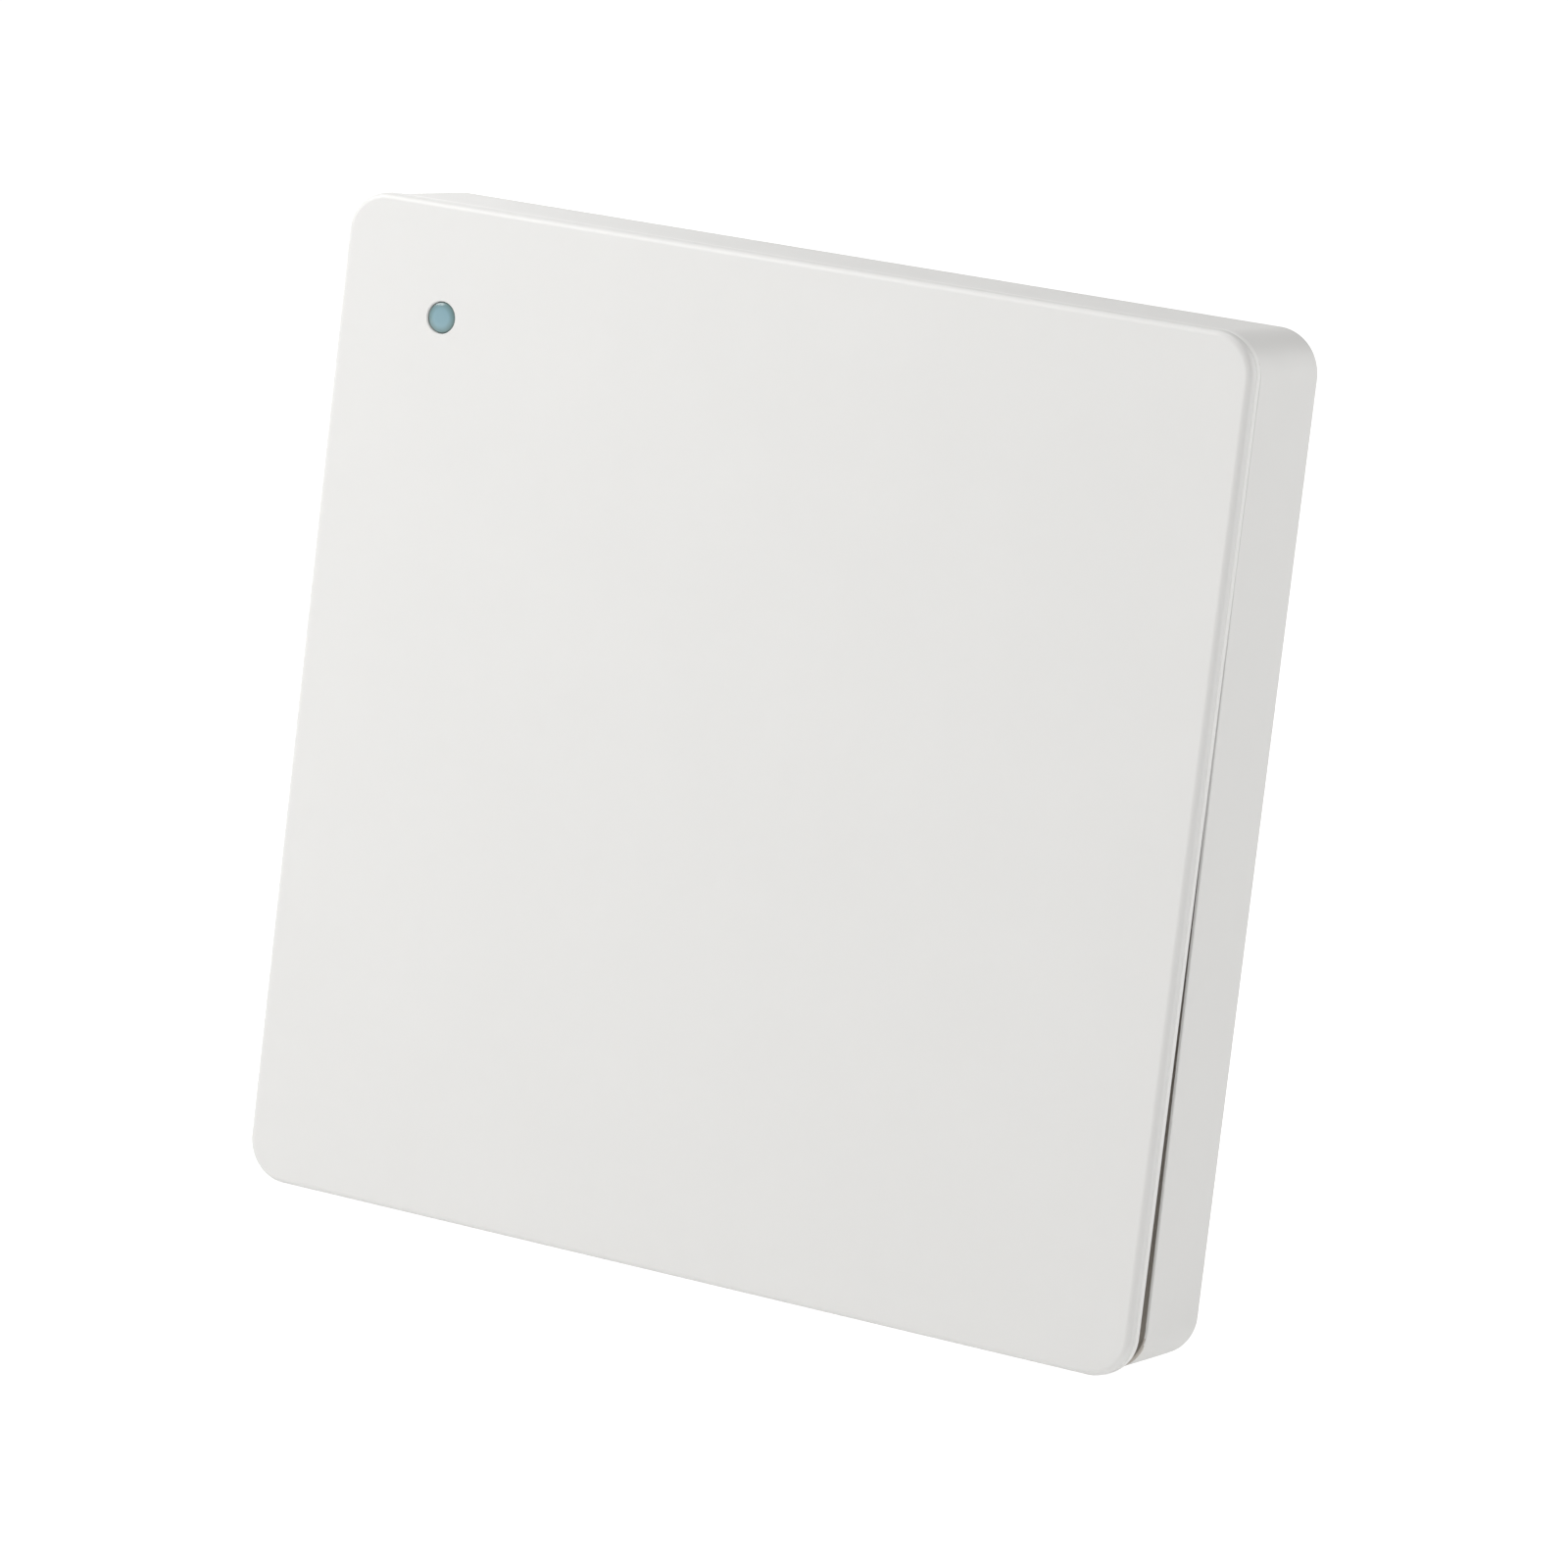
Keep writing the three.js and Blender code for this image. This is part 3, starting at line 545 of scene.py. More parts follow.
plasticSet = {
    "coverWhite": dict(color=(0.775, 0.77, 0.757), roughness=0.4, soft=0.06),
    "carrierWhite": dict(color=(0.87, 0.865, 0.85), roughness=0.46),
    "shellWhite": dict(color=(0.81, 0.805, 0.79), roughness=0.46, grain=0.3, depth=0.006),
    # the grey deck finish is painted shade, a grey that stands in for the shadow deep in the gap
    # round the rocker
    "deckPaintedShade": dict(color=(0.58, 0.54, 0.49), roughness=0.6, grain=0.3, depth=0.008),
    "plateWhite": dict(color=(0.74, 0.735, 0.72), roughness=0.55, grain=0.35, depth=0.008),
    "blackPlastic": dict(color=(0.02, 0.02, 0.022), roughness=0.48, shade=0.8),
    "siliconeGrey": dict(color=(0.5, 0.51, 0.52), roughness=0.7, grain=0.15, soft=0.1),
    "tantalumYellow": dict(color=(0.62, 0.30, 0.06), roughness=0.5, grain=0.12, shade=0.9),
    "bandBrown": dict(color=(0.22, 0.09, 0.03), roughness=0.5, grain=0.12, shade=0.9),
    "ledWhite": dict(color=(0.82, 0.81, 0.78), roughness=0.35, grain=0.1),
    "ledYellow": dict(color=(0.85, 0.78, 0.36), roughness=0.3, grain=0.08, soft=0.1),
    "gasketBlack": dict(color=(0.03, 0.03, 0.035), roughness=0.55, grain=0.1, shade=0.85),
    "ceramicBrown": dict(color=(0.16, 0.12, 0.09), roughness=0.5, grain=0.1, shade=0.88),
}
for name, facts in plasticSet.items():
    mouldedPlastic(name, **facts)

metalSet = {
    "steelSheet": dict(color=(0.66, 0.67, 0.68), roughness=0.3, along=(1, 1, 0.08)),
    "steelTurned": dict(color=(0.62, 0.63, 0.64), roughness=0.32),
    "springSteel": dict(color=(0.5, 0.51, 0.52), roughness=0.32, size=0.1),
    "stripSteel": dict(color=(0.6, 0.6, 0.58), roughness=0.28, along=(0.1, 1, 1)),
    "goldWire": dict(color=(0.78, 0.58, 0.26), roughness=0.26, size=0.12),
    "tinnedEnd": dict(color=(0.68, 0.68, 0.67), roughness=0.35, size=0.15),
    "copperPad": dict(color=(0.80, 0.60, 0.30), roughness=0.3, size=0.2),
}
for name, facts in metalSet.items():
    brushedMetal(name, **facts)


def axisDistance(tree, x, z):
    # distance from an axis along Y through x and z, which are in mm
    points = objectPoints(tree, scale=(1, 0, 1), offset=(-x * mm, 0, -z * mm))
    length = tree.nodes.new("ShaderNodeVectorMath")
    length.operation = "LENGTH"
    tree.links.new(points, length.inputs[0])
    return length.outputs["Value"]


def tealLens(name, x, z, radius, middle, rim):
    # tinted clear plastic, paler in the middle and darker towards the rim
    tree = newMaterial(name)
    away = axisDistance(tree, x, z)
    edge = spread(tree, away, 0, 1, 0.55 * radius * mm, 1.02 * radius * mm)
    haze = noise(tree, objectPoints(tree), 0.6 * mm, 2)
    dress(tree, {
        "Base Color": mixColors(tree, edge, middle, rim),
        "Roughness": spread(tree, haze, 0.14, 0.22),
        "Normal": bumps(tree, haze, 0.15, 0.01 * mm),
        "Coat Weight": 0.5,
        "Coat Roughness": 0.08,
    })


def clearRod(name):
    # clear plastic rod with a slightly uneven moulded skin
    tree = newMaterial(name)
    skin = noise(tree, objectPoints(tree), 0.8 * mm, 2)
    dress(tree, {
        "Base Color": mixColors(tree, skin, (0.86, 0.91, 0.92), (0.93, 0.96, 0.97)),
        "Roughness": spread(tree, skin, 0.06, 0.14),
        "Normal": bumps(tree, skin, 0.2, 0.02 * mm),
        "Transmission Weight": 0.85,
        "IOR": 1.58,
    })


def foamTape(name):
    # closed-cell foam with a fine skin on its faces
    tree = newMaterial(name)
    points = objectPoints(tree)
    bubbles = cells(tree, points, 0.28 * mm)
    patch = noise(tree, points, 3 * mm, 3)
    dress(tree, {
        "Base Color": mixColors(tree, bubbles, (0.22, 0.225, 0.23), (0.36, 0.365, 0.37)),
        "Roughness": spread(tree, patch, 0.8, 0.95),
        "Normal": bumps(tree, bubbles, 0.6, 0.08 * mm),
        "Sheen Weight": 0.15,
    })


def solderMask(name):
    # green mask over a glass-cloth board: wide copper fills with gaps, thin tracks and small vias
    tree = newMaterial(name)
    points = objectPoints(tree, scale=(1, 0, 1))
    swing = addNode(tree, "VectorRotate", {
        "Angle": math.pi / 2, "Vector": objectPoints(tree),
    }, rotation_type="X_AXIS")
    tracks = tree.nodes.new("ShaderNodeTexBrick")
    feed(tree, tracks, {
        "Scale": 330.0, "Mortar Size": 0.06, "Brick Width": 2.6, "Row Height": 0.42,
        "Vector": swing,
    })
    copper = spread(tree, cells(tree, points, 7.5 * mm, "CHEBYCHEV", 0.8), 1, 0, 0.42, 0.46)
    line = spread(tree, tracks.outputs["Fac"], 0, 1, 0.2, 0.8)
    both = addNode(tree, "Math", {0: copper, 1: line}, operation="MAXIMUM")
    weave = noise(tree, objectPoints(tree, scale=(1, 1, 6)), 1.2 * mm, 2)
    base = mixColors(tree, weave, (0.010, 0.085, 0.035), (0.014, 0.105, 0.045))
    over = mixColors(tree, both, base, (0.028, 0.20, 0.085))
    dot = spread(tree, cells(tree, points, 4.2 * mm, randomness=0.9), 1, 0, 0.055, 0.065)
    dress(tree, {
        "Base Color": mixColors(tree, dot, over, (0.62, 0.5, 0.28)),
        "Roughness": spread(tree, weave, 0.26, 0.36),
        "Normal": bumps(tree, both, 0.5, 0.03 * mm),
        "Coat Weight": 0.25,
        "Coat Roughness": 0.15,
    })


def glassCloth(name):
    # the sawn edge of the board: pale resin with layers of cloth
    tree = newMaterial(name)
    layers = noise(tree, objectPoints(tree, scale=(0.12, 1, 0.12)), 0.12 * mm, 2)
    dress(tree, {
        "Base Color": mixColors(tree, layers, (0.32, 0.30, 0.14), (0.52, 0.50, 0.28)),
        "Roughness": spread(tree, layers, 0.6, 0.8),
        "Normal": bumps(tree, layers, 0.5, 0.03 * mm),
    })


def pressedCan(name, x, z, color, ring=0.09):
    # a pressed can: fine rings round its axis, and a soft haze
    tree = newMaterial(name)
    rings = addNode(tree, "Math", {0: axisDistance(tree, x, z), 1: ring * mm}, operation="PINGPONG")
    wave = spread(tree, rings, 0, 1, 0, ring * mm)
    haze = noise(tree, objectPoints(tree), 1.5 * mm, 3)
    dress(tree, {
        "Base Color": darker(tree, haze, color, 0.88),
        "Roughness": spread(tree, haze, 0.2, 0.34),
        "Normal": bumps(tree, wave, 0.12, 0.004 * mm),
        "Metallic": 1.0,
    })


print("finishes are mixed")

# ---- rocker ----

past = 1  # how far a cutting shape reaches beyond the piece

coverSize = dict(
    width=86, height=86, corner=3.6, rear=11.95, front=13.0, frontRound=0.5, rearRound=0.07,
    sideDraft=0.06, lensX=-32.8, lensZ=33.3, holeRadius=1.36, holeFlare=0.1,
)
lensAxis = coverSize["lensX"], coverSize["lensZ"]


def makeCover():
    s = named(coverSize)
    bm = drawn(addSlab, s.width, s.height, s.corner, s.rear, s.front, steps=20)
    # the sides lean in a little towards the front
    scaleAt(bm, s.front, 1 - 2 * s.sideDraft / s.width, 1 - 2 * s.sideDraft / s.height)
    roundEdges(bm, s.front, s.frontRound, 8)
    roundEdges(bm, s.rear, s.rearRound, 2)
    cover = makeObject(bm, "front_cover")
    radius, wide = s.holeRadius, s.holeRadius + s.holeFlare
    combine(cover, drawn(addTurned, [
        (0, s.rear - past), (radius, s.rear - past), (radius, s.front - s.holeFlare),
        (radius + 0.3 * s.holeFlare, s.front - 0.4 * s.holeFlare), (wide, s.front + 0.01),
        (wide, s.front + past), (0, s.front + past),
    ], *lensAxis, 64), "DIFFERENCE")
    finishPiece(cover, "cover_white", "rocker_cover", "coverWhite", body="rocker")


carrierSize = dict(
    width=86, height=86, corner=3.6, rear=11.2, front=11.9, rearRound=0.12, frontRound=0.12,
    bury=0.3, ribHeight=0.7, ribWidth=1.0, ribSpread=18, rimInset=2.6, rimCorner=1.6,
    pivotZ=23, pivotDepth=9.95, pinRadius=1.1, pin=(35.6, 39.1), lug=(34.5, 36.7), lugHalf=1.5,
    lugRear=9.15, catchX=26, catchZ=-39, catchWidth=4, catchHalf=0.5, catchBarb=0.7,
    barbFront=7.2, springX=28, springZ=-30, postRadius=1.2, postHeight=0.6, bossRadius=2.5,
    bossZ=-7, bossRear=10.72, lensSeat=2.0, soften=0.08,
)


def makeCarrier():
    s = named(carrierSize)
    bury, ribRear, half = s.rear + s.bury, s.rear - s.ribHeight, s.ribWidth / 2
    bm = drawn(addSlab, s.width, s.height, s.corner, s.rear, s.front, steps=20)
    roundEdges(bm, s.rear, s.rearRound, 3)
    roundEdges(bm, s.front, s.frontRound, 3)
    carrier = makeObject(bm, "rocker_back")
    width, height = s.width - 2 * s.rimInset, s.height - 2 * s.rimInset
    rim = makeObject(drawn(addSlab, width, height, s.rimCorner, ribRear, bury), "rim")
    combine(rim, drawn(
        addSlab, width - 2 * s.ribWidth, height - 2 * s.ribWidth, s.rimCorner / 2,
        s.rear - 2 * past, s.front + 2 * past,
    ), "DIFFERENCE")
    extras = bmesh.new()
    take(extras, rim)
    reach = height / 2 - half
    for x in (-s.ribSpread, s.ribSpread):
        addBlock(extras, x - half, x + half, -reach, reach, ribRear, bury)
    for side in (-1, 1):
        x0, x1 = sorted(side * x for x in s.lug)
        addBlock(extras, x0, x1, s.pivotZ - s.lugHalf, s.pivotZ + s.lugHalf, s.lugRear, bury)
        pin0, pin1 = sorted(side * x for x in s.pin)
        addRodAlongX(extras, s.pinRadius, pin0, pin1, s.pivotZ, s.pivotDepth)
        low, high = s.catchZ - s.catchHalf, s.catchZ + s.catchHalf
        tip = s.barbFront - s.catchBarb
        addPrismAlongX(extras, [
            (low, bury), (high, bury), (high, s.barbFront), (high + s.catchBarb, s.barbFront),
            (high, tip), (low, tip),
        ], s.catchWidth, side * s.catchX)
        addDisc(extras, s.postRadius, s.rear - s.postHeight, bury, side * s.springX, s.springZ)
    addDisc(extras, s.bossRadius, s.bossRear, bury, 0, s.bossZ)
    combine(carrier, extras, "UNION")
    seat = drawn(addDisc, s.lensSeat, s.rear - 2 * past, s.front + 2 * past, *lensAxis)
    combine(carrier, seat, "DIFFERENCE")
    finishPiece(
        carrier, "carrier_white", "rocker_frame", "carrierWhite", body="rocker", edge=s.soften,
    )


lensSize = dict(
    radius=1.3, flange=1.8, flangeRear=11.35, flangeFront=11.9, flangeRound=0.1, face=12.92,
    dome=0.05, round=0.16, roundMiddle=0.05, middle=(0.235, 0.385, 0.44), rim=(0.13, 0.21, 0.2),
)


def makeLens():
    s = named(lensSize)
    crown = [
        (s.radius * math.cos(t), s.face + s.dome * math.sin(t)) for t in arc(60, 72, 82)
    ]
    lens = makeObject(drawn(addTurned, [
        (0, s.flangeRear), (s.flange - s.flangeRound, s.flangeRear),
        (s.flange, s.flangeRear + s.flangeRound), (s.flange, s.flangeFront),
        (s.radius, s.flangeFront), (s.radius, s.face - s.round),
        (s.radius - s.roundMiddle, s.face - s.roundMiddle), (s.radius - s.round, s.face),
        *crown, (0, s.face + s.dome),
    ], *lensAxis, 64), "indicator_window")
    tealLens("tealLens", *lensAxis, s.radius, s.middle, s.rim)
    finishPiece(lens, "lens_teal", "indicator_lens", "tealLens", body="rocker")


makeCover()
makeCarrier()
makeLens()
print("the rocker is built")

# ---- housing ----

shellSize = dict(
    width=85.8, height=85.8, corner=3.8, wall=1.6, lip=0.26, rear=0.15, front=10.95,
    rearRound=0.3, frontRound=0.1, deckRear=7.3, deckFront=8.5, leanStart=1.5, lean=0.06,
    pivotZ=23, pivotDepth=9.95, slope=1.5 / 66, ear=(36.9, 39.1), earHalf=2.18, earFront=10.8,
    bore=1.18, mouth=0.9, screws=((-34, 12), (34, 12), (-34, -24), (34, -24)), bossRadius=2.2,
    bossRear=6.85, bossFront=9.8, pilot=0.86, pilotFront=9.4, keyHole=7.4, keyCorner=0.6,
    keyZ=-7, pipeHole=1.2, ledPocket=2.2, ledPocketFront=7.95, springX=28, springZ=-30,
    springWell=2.6, springFloor=7.9, bumperX=12, bumperZ=-37, bumperWell=2.1, bumperFloor=8.2,
    catchX=26, catchHalf=2.3, catchZ=(-39.9, -38.2), hookX=14, pocketHalf=3.3,
    # the last value is the depth in front of which the mouth is painted grey, as painted shade
    pocket=(41.28, 42.05), pocketDepth=(3.7, 5.1), pryHalf=4, pryFloor=0.95, greyRear=7.7,
)


def shellTray():
    s = named(shellSize)
    bm = drawn(addSlab, s.width, s.height, s.corner, s.rear, s.front, steps=20)
    # the rearmost part of the left and right sides leans in
    splitAt(bm, (0, -s.leanStart, 0), (0, 1, 0))
    scaleAt(bm, s.rear, 1 - 2 * s.lean / s.width)
    roundEdges(bm, s.rear, s.rearRound, 4)
    roundEdges(bm, s.front, s.frontRound, 3)
    sinkFace(bm, s.rear, s.wall - s.rearRound - s.lean, s.deckRear)
    sinkFace(bm, s.front, s.lip - s.frontRound, s.deckFront)
    # the front edge falls away below the pivot, like the pressed rocker
    splitAt(bm, (0, 0, s.pivotZ), (0, 0, 1))
    for v in bm.verts:
        if v.co.z < s.pivotZ and v.co.y < -s.deckFront - 0.1:
            v.co.y += (s.pivotZ - v.co.z) * s.slope
    return makeObject(bm, "housing_tray")


def shellExtras():
    s = named(shellSize)
    bm = bmesh.new()
    for x, z in s.screws:
        addDisc(bm, s.bossRadius, s.bossRear, s.bossFront, x, z)
    ears = bmesh.new()
    bores = bmesh.new()
    for side in (-1, 1):
        x0, x1 = sorted(side * x for x in s.ear)
        z0, z1 = s.pivotZ - s.earHalf, s.pivotZ + s.earHalf
        addBlock(ears, x0, x1, z0, z1, s.deckFront - 0.3, s.earFront)
        x0, x1 = sorted((side * s.ear[0] - side, side * s.ear[1] + side))
        addRodAlongX(bores, s.bore, x0, x1, s.pivotZ, s.pivotDepth, 48)
        z0, z1 = s.pivotZ - s.mouth, s.pivotZ + s.mouth
        addBlock(bores, x0 - 0.1, x1 + 0.1, z0, z1, s.pivotDepth, s.earFront + past)
    ears = makeObject(ears, "ears")
    combine(ears, bores, "DIFFERENCE")
    take(bm, ears)
    return bm


def shellCuts():
    s = named(shellSize)
    rear, front = s.deckRear - past, s.deckFront + past
    bm = drawn(addSlab, s.keyHole, s.keyHole, s.keyCorner, rear, front, 0, s.keyZ)
    addTurned(bm, [
        (0, rear), (s.ledPocket, rear), (s.ledPocket, s.ledPocketFront),
        (s.pipeHole, s.ledPocketFront), (s.pipeHole, front), (0, front),
    ], *lensAxis)
    for x, z in s.screws:
        addDisc(bm, s.pilot, s.bossRear - 0.5, s.pilotFront, x, z, 32)
    for side in (-1, 1):
        addDisc(bm, s.springWell, s.springFloor, front, side * s.springX, s.springZ)
        addDisc(bm, s.bumperWell, s.bumperFloor, front, side * s.bumperX, s.bumperZ)
        x = side * s.catchX
        addBlock(bm, x - s.catchHalf, x + s.catchHalf, *s.catchZ, rear, front)
        x = side * s.hookX
        for up in (-1, 1):
            z0, z1 = sorted(up * z for z in s.pocket)
            addBlock(bm, x - s.pocketHalf, x + s.pocketHalf, z0, z1, *s.pocketDepth)
    inner = s.height / 2 - s.wall
    addBlock(bm, -s.pryHalf, s.pryHalf, -s.height, -inner + 0.02, 0, s.pryFloor)
    return bm


def makeShell():
    s = named(shellSize)
    shell = shellTray()
    combine(shell, shellExtras(), "UNION")
    combine(shell, shellCuts(), "DIFFERENCE")
    finishPiece(shell, "shell_white", "housing_shell", "shellWhite", "deckPaintedShade")
    # painted shade: the faces inside the mouth, in front of the deck, take the grey finish so the
    # gap round the rocker looks dark
    inside = s.width / 2 - s.lip + 0.01
    paint(shell, 1, lambda p, n: max(abs(p.x), abs(p.z)) < inside and -p.y > s.greyRear)


pipeSize = dict(
    radius=1.1, collar=1.7, rear=8.0, collarDepth=(8.55, 9.15), front=11.1, dimple=0.6, edge=0.08,
    collarEdge=0.15, fillet=0.12, tipEdge=0.1,
)


def makeLightPipe():
    s = named(pipeSize)
    low, high = s.collarDepth
    clearRod("clearRod")
    pipe = makeObject(drawn(addTurned, [
        (0, s.rear + 0.15), (s.dimple, s.rear + 0.05), (s.radius - s.edge, s.rear),
        (s.radius, s.rear + s.edge), (s.radius, low), (s.collar - s.edge, low),
        (s.collar, low + s.edge), (s.collar, high - s.collarEdge),
        (s.collar - s.collarEdge, high), (s.radius + s.fillet, high),
        (s.radius, high + s.fillet), (s.radius, s.front - s.tipEdge),
        (s.radius - s.tipEdge, s.front), (0, s.front),
    ], *lensAxis), "light_guide")
    finishPiece(pipe, "clear_pipe", "light_pipe", "clearRod")


springSize = dict(
    radius=1.9, wire=0.2, rear=7.95, front=11.15, deadTurns=1.0, deadRise=0.42, turns=2.0,
    travel=1.2,
)


def makeSprings():
    s = named(springSize)
    dead = s.deadTurns, s.deadRise
    height = s.front - s.rear - 2 * s.wire - 2 * s.deadTurns * s.deadRise
    for name, side in (("left", -1), ("right", 1)):
        x, z = side * shellSize["springX"], shellSize["springZ"]
        spring = makeObject(drawn(
            addCoil, s.radius, s.wire, (x, -s.rear - s.wire, z),
            [dead, (s.turns, height / s.turns), dead], "Y",
        ), f"spring_{name}")
        finishPiece(spring, "spring_steel", f"return_spring_{name}", "springSteel")
        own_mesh(spring)


bumperSize = dict(radius=2.0, rear=8.25, front=9.64, round=0.55, edge=0.1)


def makeBumpers():
    s = named(bumperSize)
    top = [
        (s.radius - s.round * (1 - math.cos(t)), s.front - s.round * (1 - math.sin(t)))
        for t in arc(0, 18, 36, 54, 72, 90)
    ]
    profile = [
        (0, s.rear), (s.radius - s.edge, s.rear), (s.radius, s.rear + s.edge), *top, (0, s.front),
    ]
    for name, side in (("left", -1), ("right", 1)):
        place = side * shellSize["bumperX"], shellSize["bumperZ"]
        stop = makeObject(drawn(addTurned, profile, *place), f"stop_{name}")
        finishPiece(stop, "silicone", f"bumper_{name}", "siliconeGrey")


makeShell()
makeLightPipe()
makeSprings()
makeBumpers()
print("the housing is built")

# ---- wall side ----

plateSize = dict(
    width=82.2, height=82.2, corner=2.0, front=1.8, edgeRound=0.25, hookX=14, hookWidth=6,
    hookZ=(40.2, 41.1), barbReach=41.75, barbRear=4.0, hookFront=4.8, bury=0.5, slotX=30,
    slotLength=9, slotWidth=4.6, slotSink=0.5, slotRim=1.5, pad=(60.4, 16.4, 1.2), padZ=24,
    padDepth=0.8, pairHole=(1.7, 14, 0), soften=0.1,
)


def makeWallPlate():
    s = named(plateSize)
    bm = drawn(addSlab, s.width, s.height, s.corner, 0, s.front)
    roundEdges(bm, s.front, s.edgeRound, 3)
    plate = makeObject(bm, "wall_bracket")
    hooks = bmesh.new()
    low, high = s.hookZ
    root = s.front - s.bury
    for side in (-1, 1):
        for up in (-1, 1):
            addPrismAlongX(hooks, [
                (up * low, root), (up * high, root), (up * high, s.barbRear),
                (up * s.barbReach, s.barbRear), (up * high, s.hookFront),
                (up * low, s.hookFront),
            ], s.hookWidth, side * s.hookX)
    combine(plate, hooks, "UNION")
    cuts = bmesh.new()
    rear, front, wide = -past, s.front + past, 2 * s.slotRim
    for side in (-1, 1):
        x = side * s.slotX
        addSlot(cuts, s.slotLength, s.slotWidth, rear, front, x)
        addSlot(
            cuts, s.slotLength + wide, s.slotWidth + wide, s.front - s.slotSink, front + 0.5, x,
        )
        addSlab(cuts, *s.pad, rear, s.padDepth, 0, side * s.padZ)
    radius, x, z = s.pairHole
    addDisc(cuts, radius, rear, front, x, z)
    combine(plate, cuts, "DIFFERENCE")
    finishPiece(plate, "plate_white", "wall_plate", "plateWhite", edge=s.soften)


tapeSize = dict(width=60, height=16, corner=1.0, thickness=0.75, bulge=0.12)


def pastCorner(value, reach):
    # how far a place lies beyond a reach from the middle, with its sign
    return math.copysign(max(0, abs(value) - reach), value)


def makeTapes():
    s = named(tapeSize)
    foamTape("foamTape")
    width, height = s.width - 2 * s.bulge, s.height - 2 * s.bulge
    for name, up in (("upper", 1), ("lower", -1)):
        z = up * plateSize["padZ"]
        bm = drawn(addSlab, width, height, s.corner - s.bulge, 0, s.thickness, 0, z)
        # the foam squeezes out a little between its two flat skins
        thick = s.thickness / 2
        sides = [e for e in bm.edges if abs(e.verts[0].co.y - e.verts[1].co.y) > thick]
        bmesh.ops.subdivide_edges(bm, edges=sides, cuts=5, use_grid_fill=True)
        for v in bm.verts:
            across = pastCorner(v.co.x, s.width / 2 - s.corner)
            away = Vector((across, 0, pastCorner(v.co.z - z, s.height / 2 - s.corner)))
            if away.length > 1e-6:
                v.co += away.normalized() * s.bulge * math.sin(math.pi * -v.co.y / s.thickness)
        tape = makeObject(bm, f"tape_{name}")
        finishPiece(tape, "foam_grey", f"adhesive_pad_{name}", "foamTape")


makeWallPlate()
makeTapes()
print("the wall side is built")

# ---- board ----

boardSize = dict(
    width=76, height=72, corner=2, rear=5.8, front=6.8, screwHole=1.1, padRing=1.9, padRise=0.03,
)


def makeBoard():
    s = named(boardSize)
    board = makeObject(
        drawn(addSlab, s.width, s.height, s.corner, s.rear, s.front), "radio_board",
    )
    rings = bmesh.new()
    holes = bmesh.new()
    for x, z in shellSize["screws"]:
        addDisc(rings, s.padRing, s.rear - s.padRise, s.front + s.padRise, x, z)
        addDisc(holes, s.screwHole, s.rear - past, s.front + past, x, z)
    combine(board, rings, "UNION")
    combine(board, holes, "DIFFERENCE")
    solderMask("solderMask")
    glassCloth("glassCloth")
    finishPiece(
        board, "board_green", "circuit_board", "solderMask", "glassCloth", "copperPad",
    )
    innerX, innerZ = s.width / 2 - s.corner, s.height / 2 - s.corner
    paint(board, 1, lambda p, n: abs(n.y) < 0.5 and (abs(p.x) > innerX or abs(p.z) > innerZ))
    paint(board, 2, lambda p, n: any(
        math.hypot(p.x - x, p.z - z) < s.padRing + 0.01 for x, z in shellSize["screws"]))


screwSize = dict(
    headRadius=1.8, headHeight=1.2, headEdge=0.25, seat=5.75, radius=0.8, core=0.58, tip=9.1,
    point=0.6, tipRadius=0.12, pitch=0.35, crest=(0.14, 0.18), root=0.3, crossReach=1.05,
    crossHalf=0.19, crossFloor=5.1,
)


def makeScrews():
    s = named(screwSize)
    top, edge = s.seat - s.headHeight, s.seat - s.headEdge
    dome = [
        (s.headRadius * math.sin(t), edge - (s.headHeight - s.headEdge) * math.cos(t))
        for t in arc(14, 28, 42, 56, 70, 82)
    ]
    threads, depth = [], s.seat + 0.3
    while depth < s.tip - s.point - 0.1:
        threads += [
            (s.core, depth), *((s.radius, depth + rise) for rise in s.crest),
            (s.core, depth + s.root),
        ]
        depth += s.pitch
    profile = [
        (0, top), *dome, (s.headRadius, edge), (s.headRadius - 0.05, s.seat),
        (s.core + 0.1, s.seat), *threads, (s.core, s.tip - s.point), (s.tipRadius, s.tip),
        (0, s.tip),
    ]
    reach, half, floor = s.crossReach, s.crossHalf, s.crossFloor
    for number, (x, z) in enumerate(shellSize["screws"], 1):
        screw = makeObject(drawn(addTurned, profile, x, z, 32), f"screw_{number}")
        cross = drawn(addBlock, x - reach, x + reach, z - half, z + half, top - 1, floor)
        addBlock(cross, x - half, x + half, z - reach, z + reach, top - 0.9, floor + 0.01)
        combine(screw, cross, "DIFFERENCE")
        finishPiece(screw, "steel", f"board_screw_{number}", "steelTurned")


cellSize = dict(
    axis=(-14, -18), radius=10, rear=2.1, front=5.3, edge=0.35, base=(8.6, 8.8), baseSink=0.06,
    crimp=9.15, cap=8.75, capFlat=8.3, capStep=7.4, gasket=0.42,
    can=(0.66, 0.67, 0.68), lid=(0.58, 0.58, 0.58), lidRing=0.2,
)


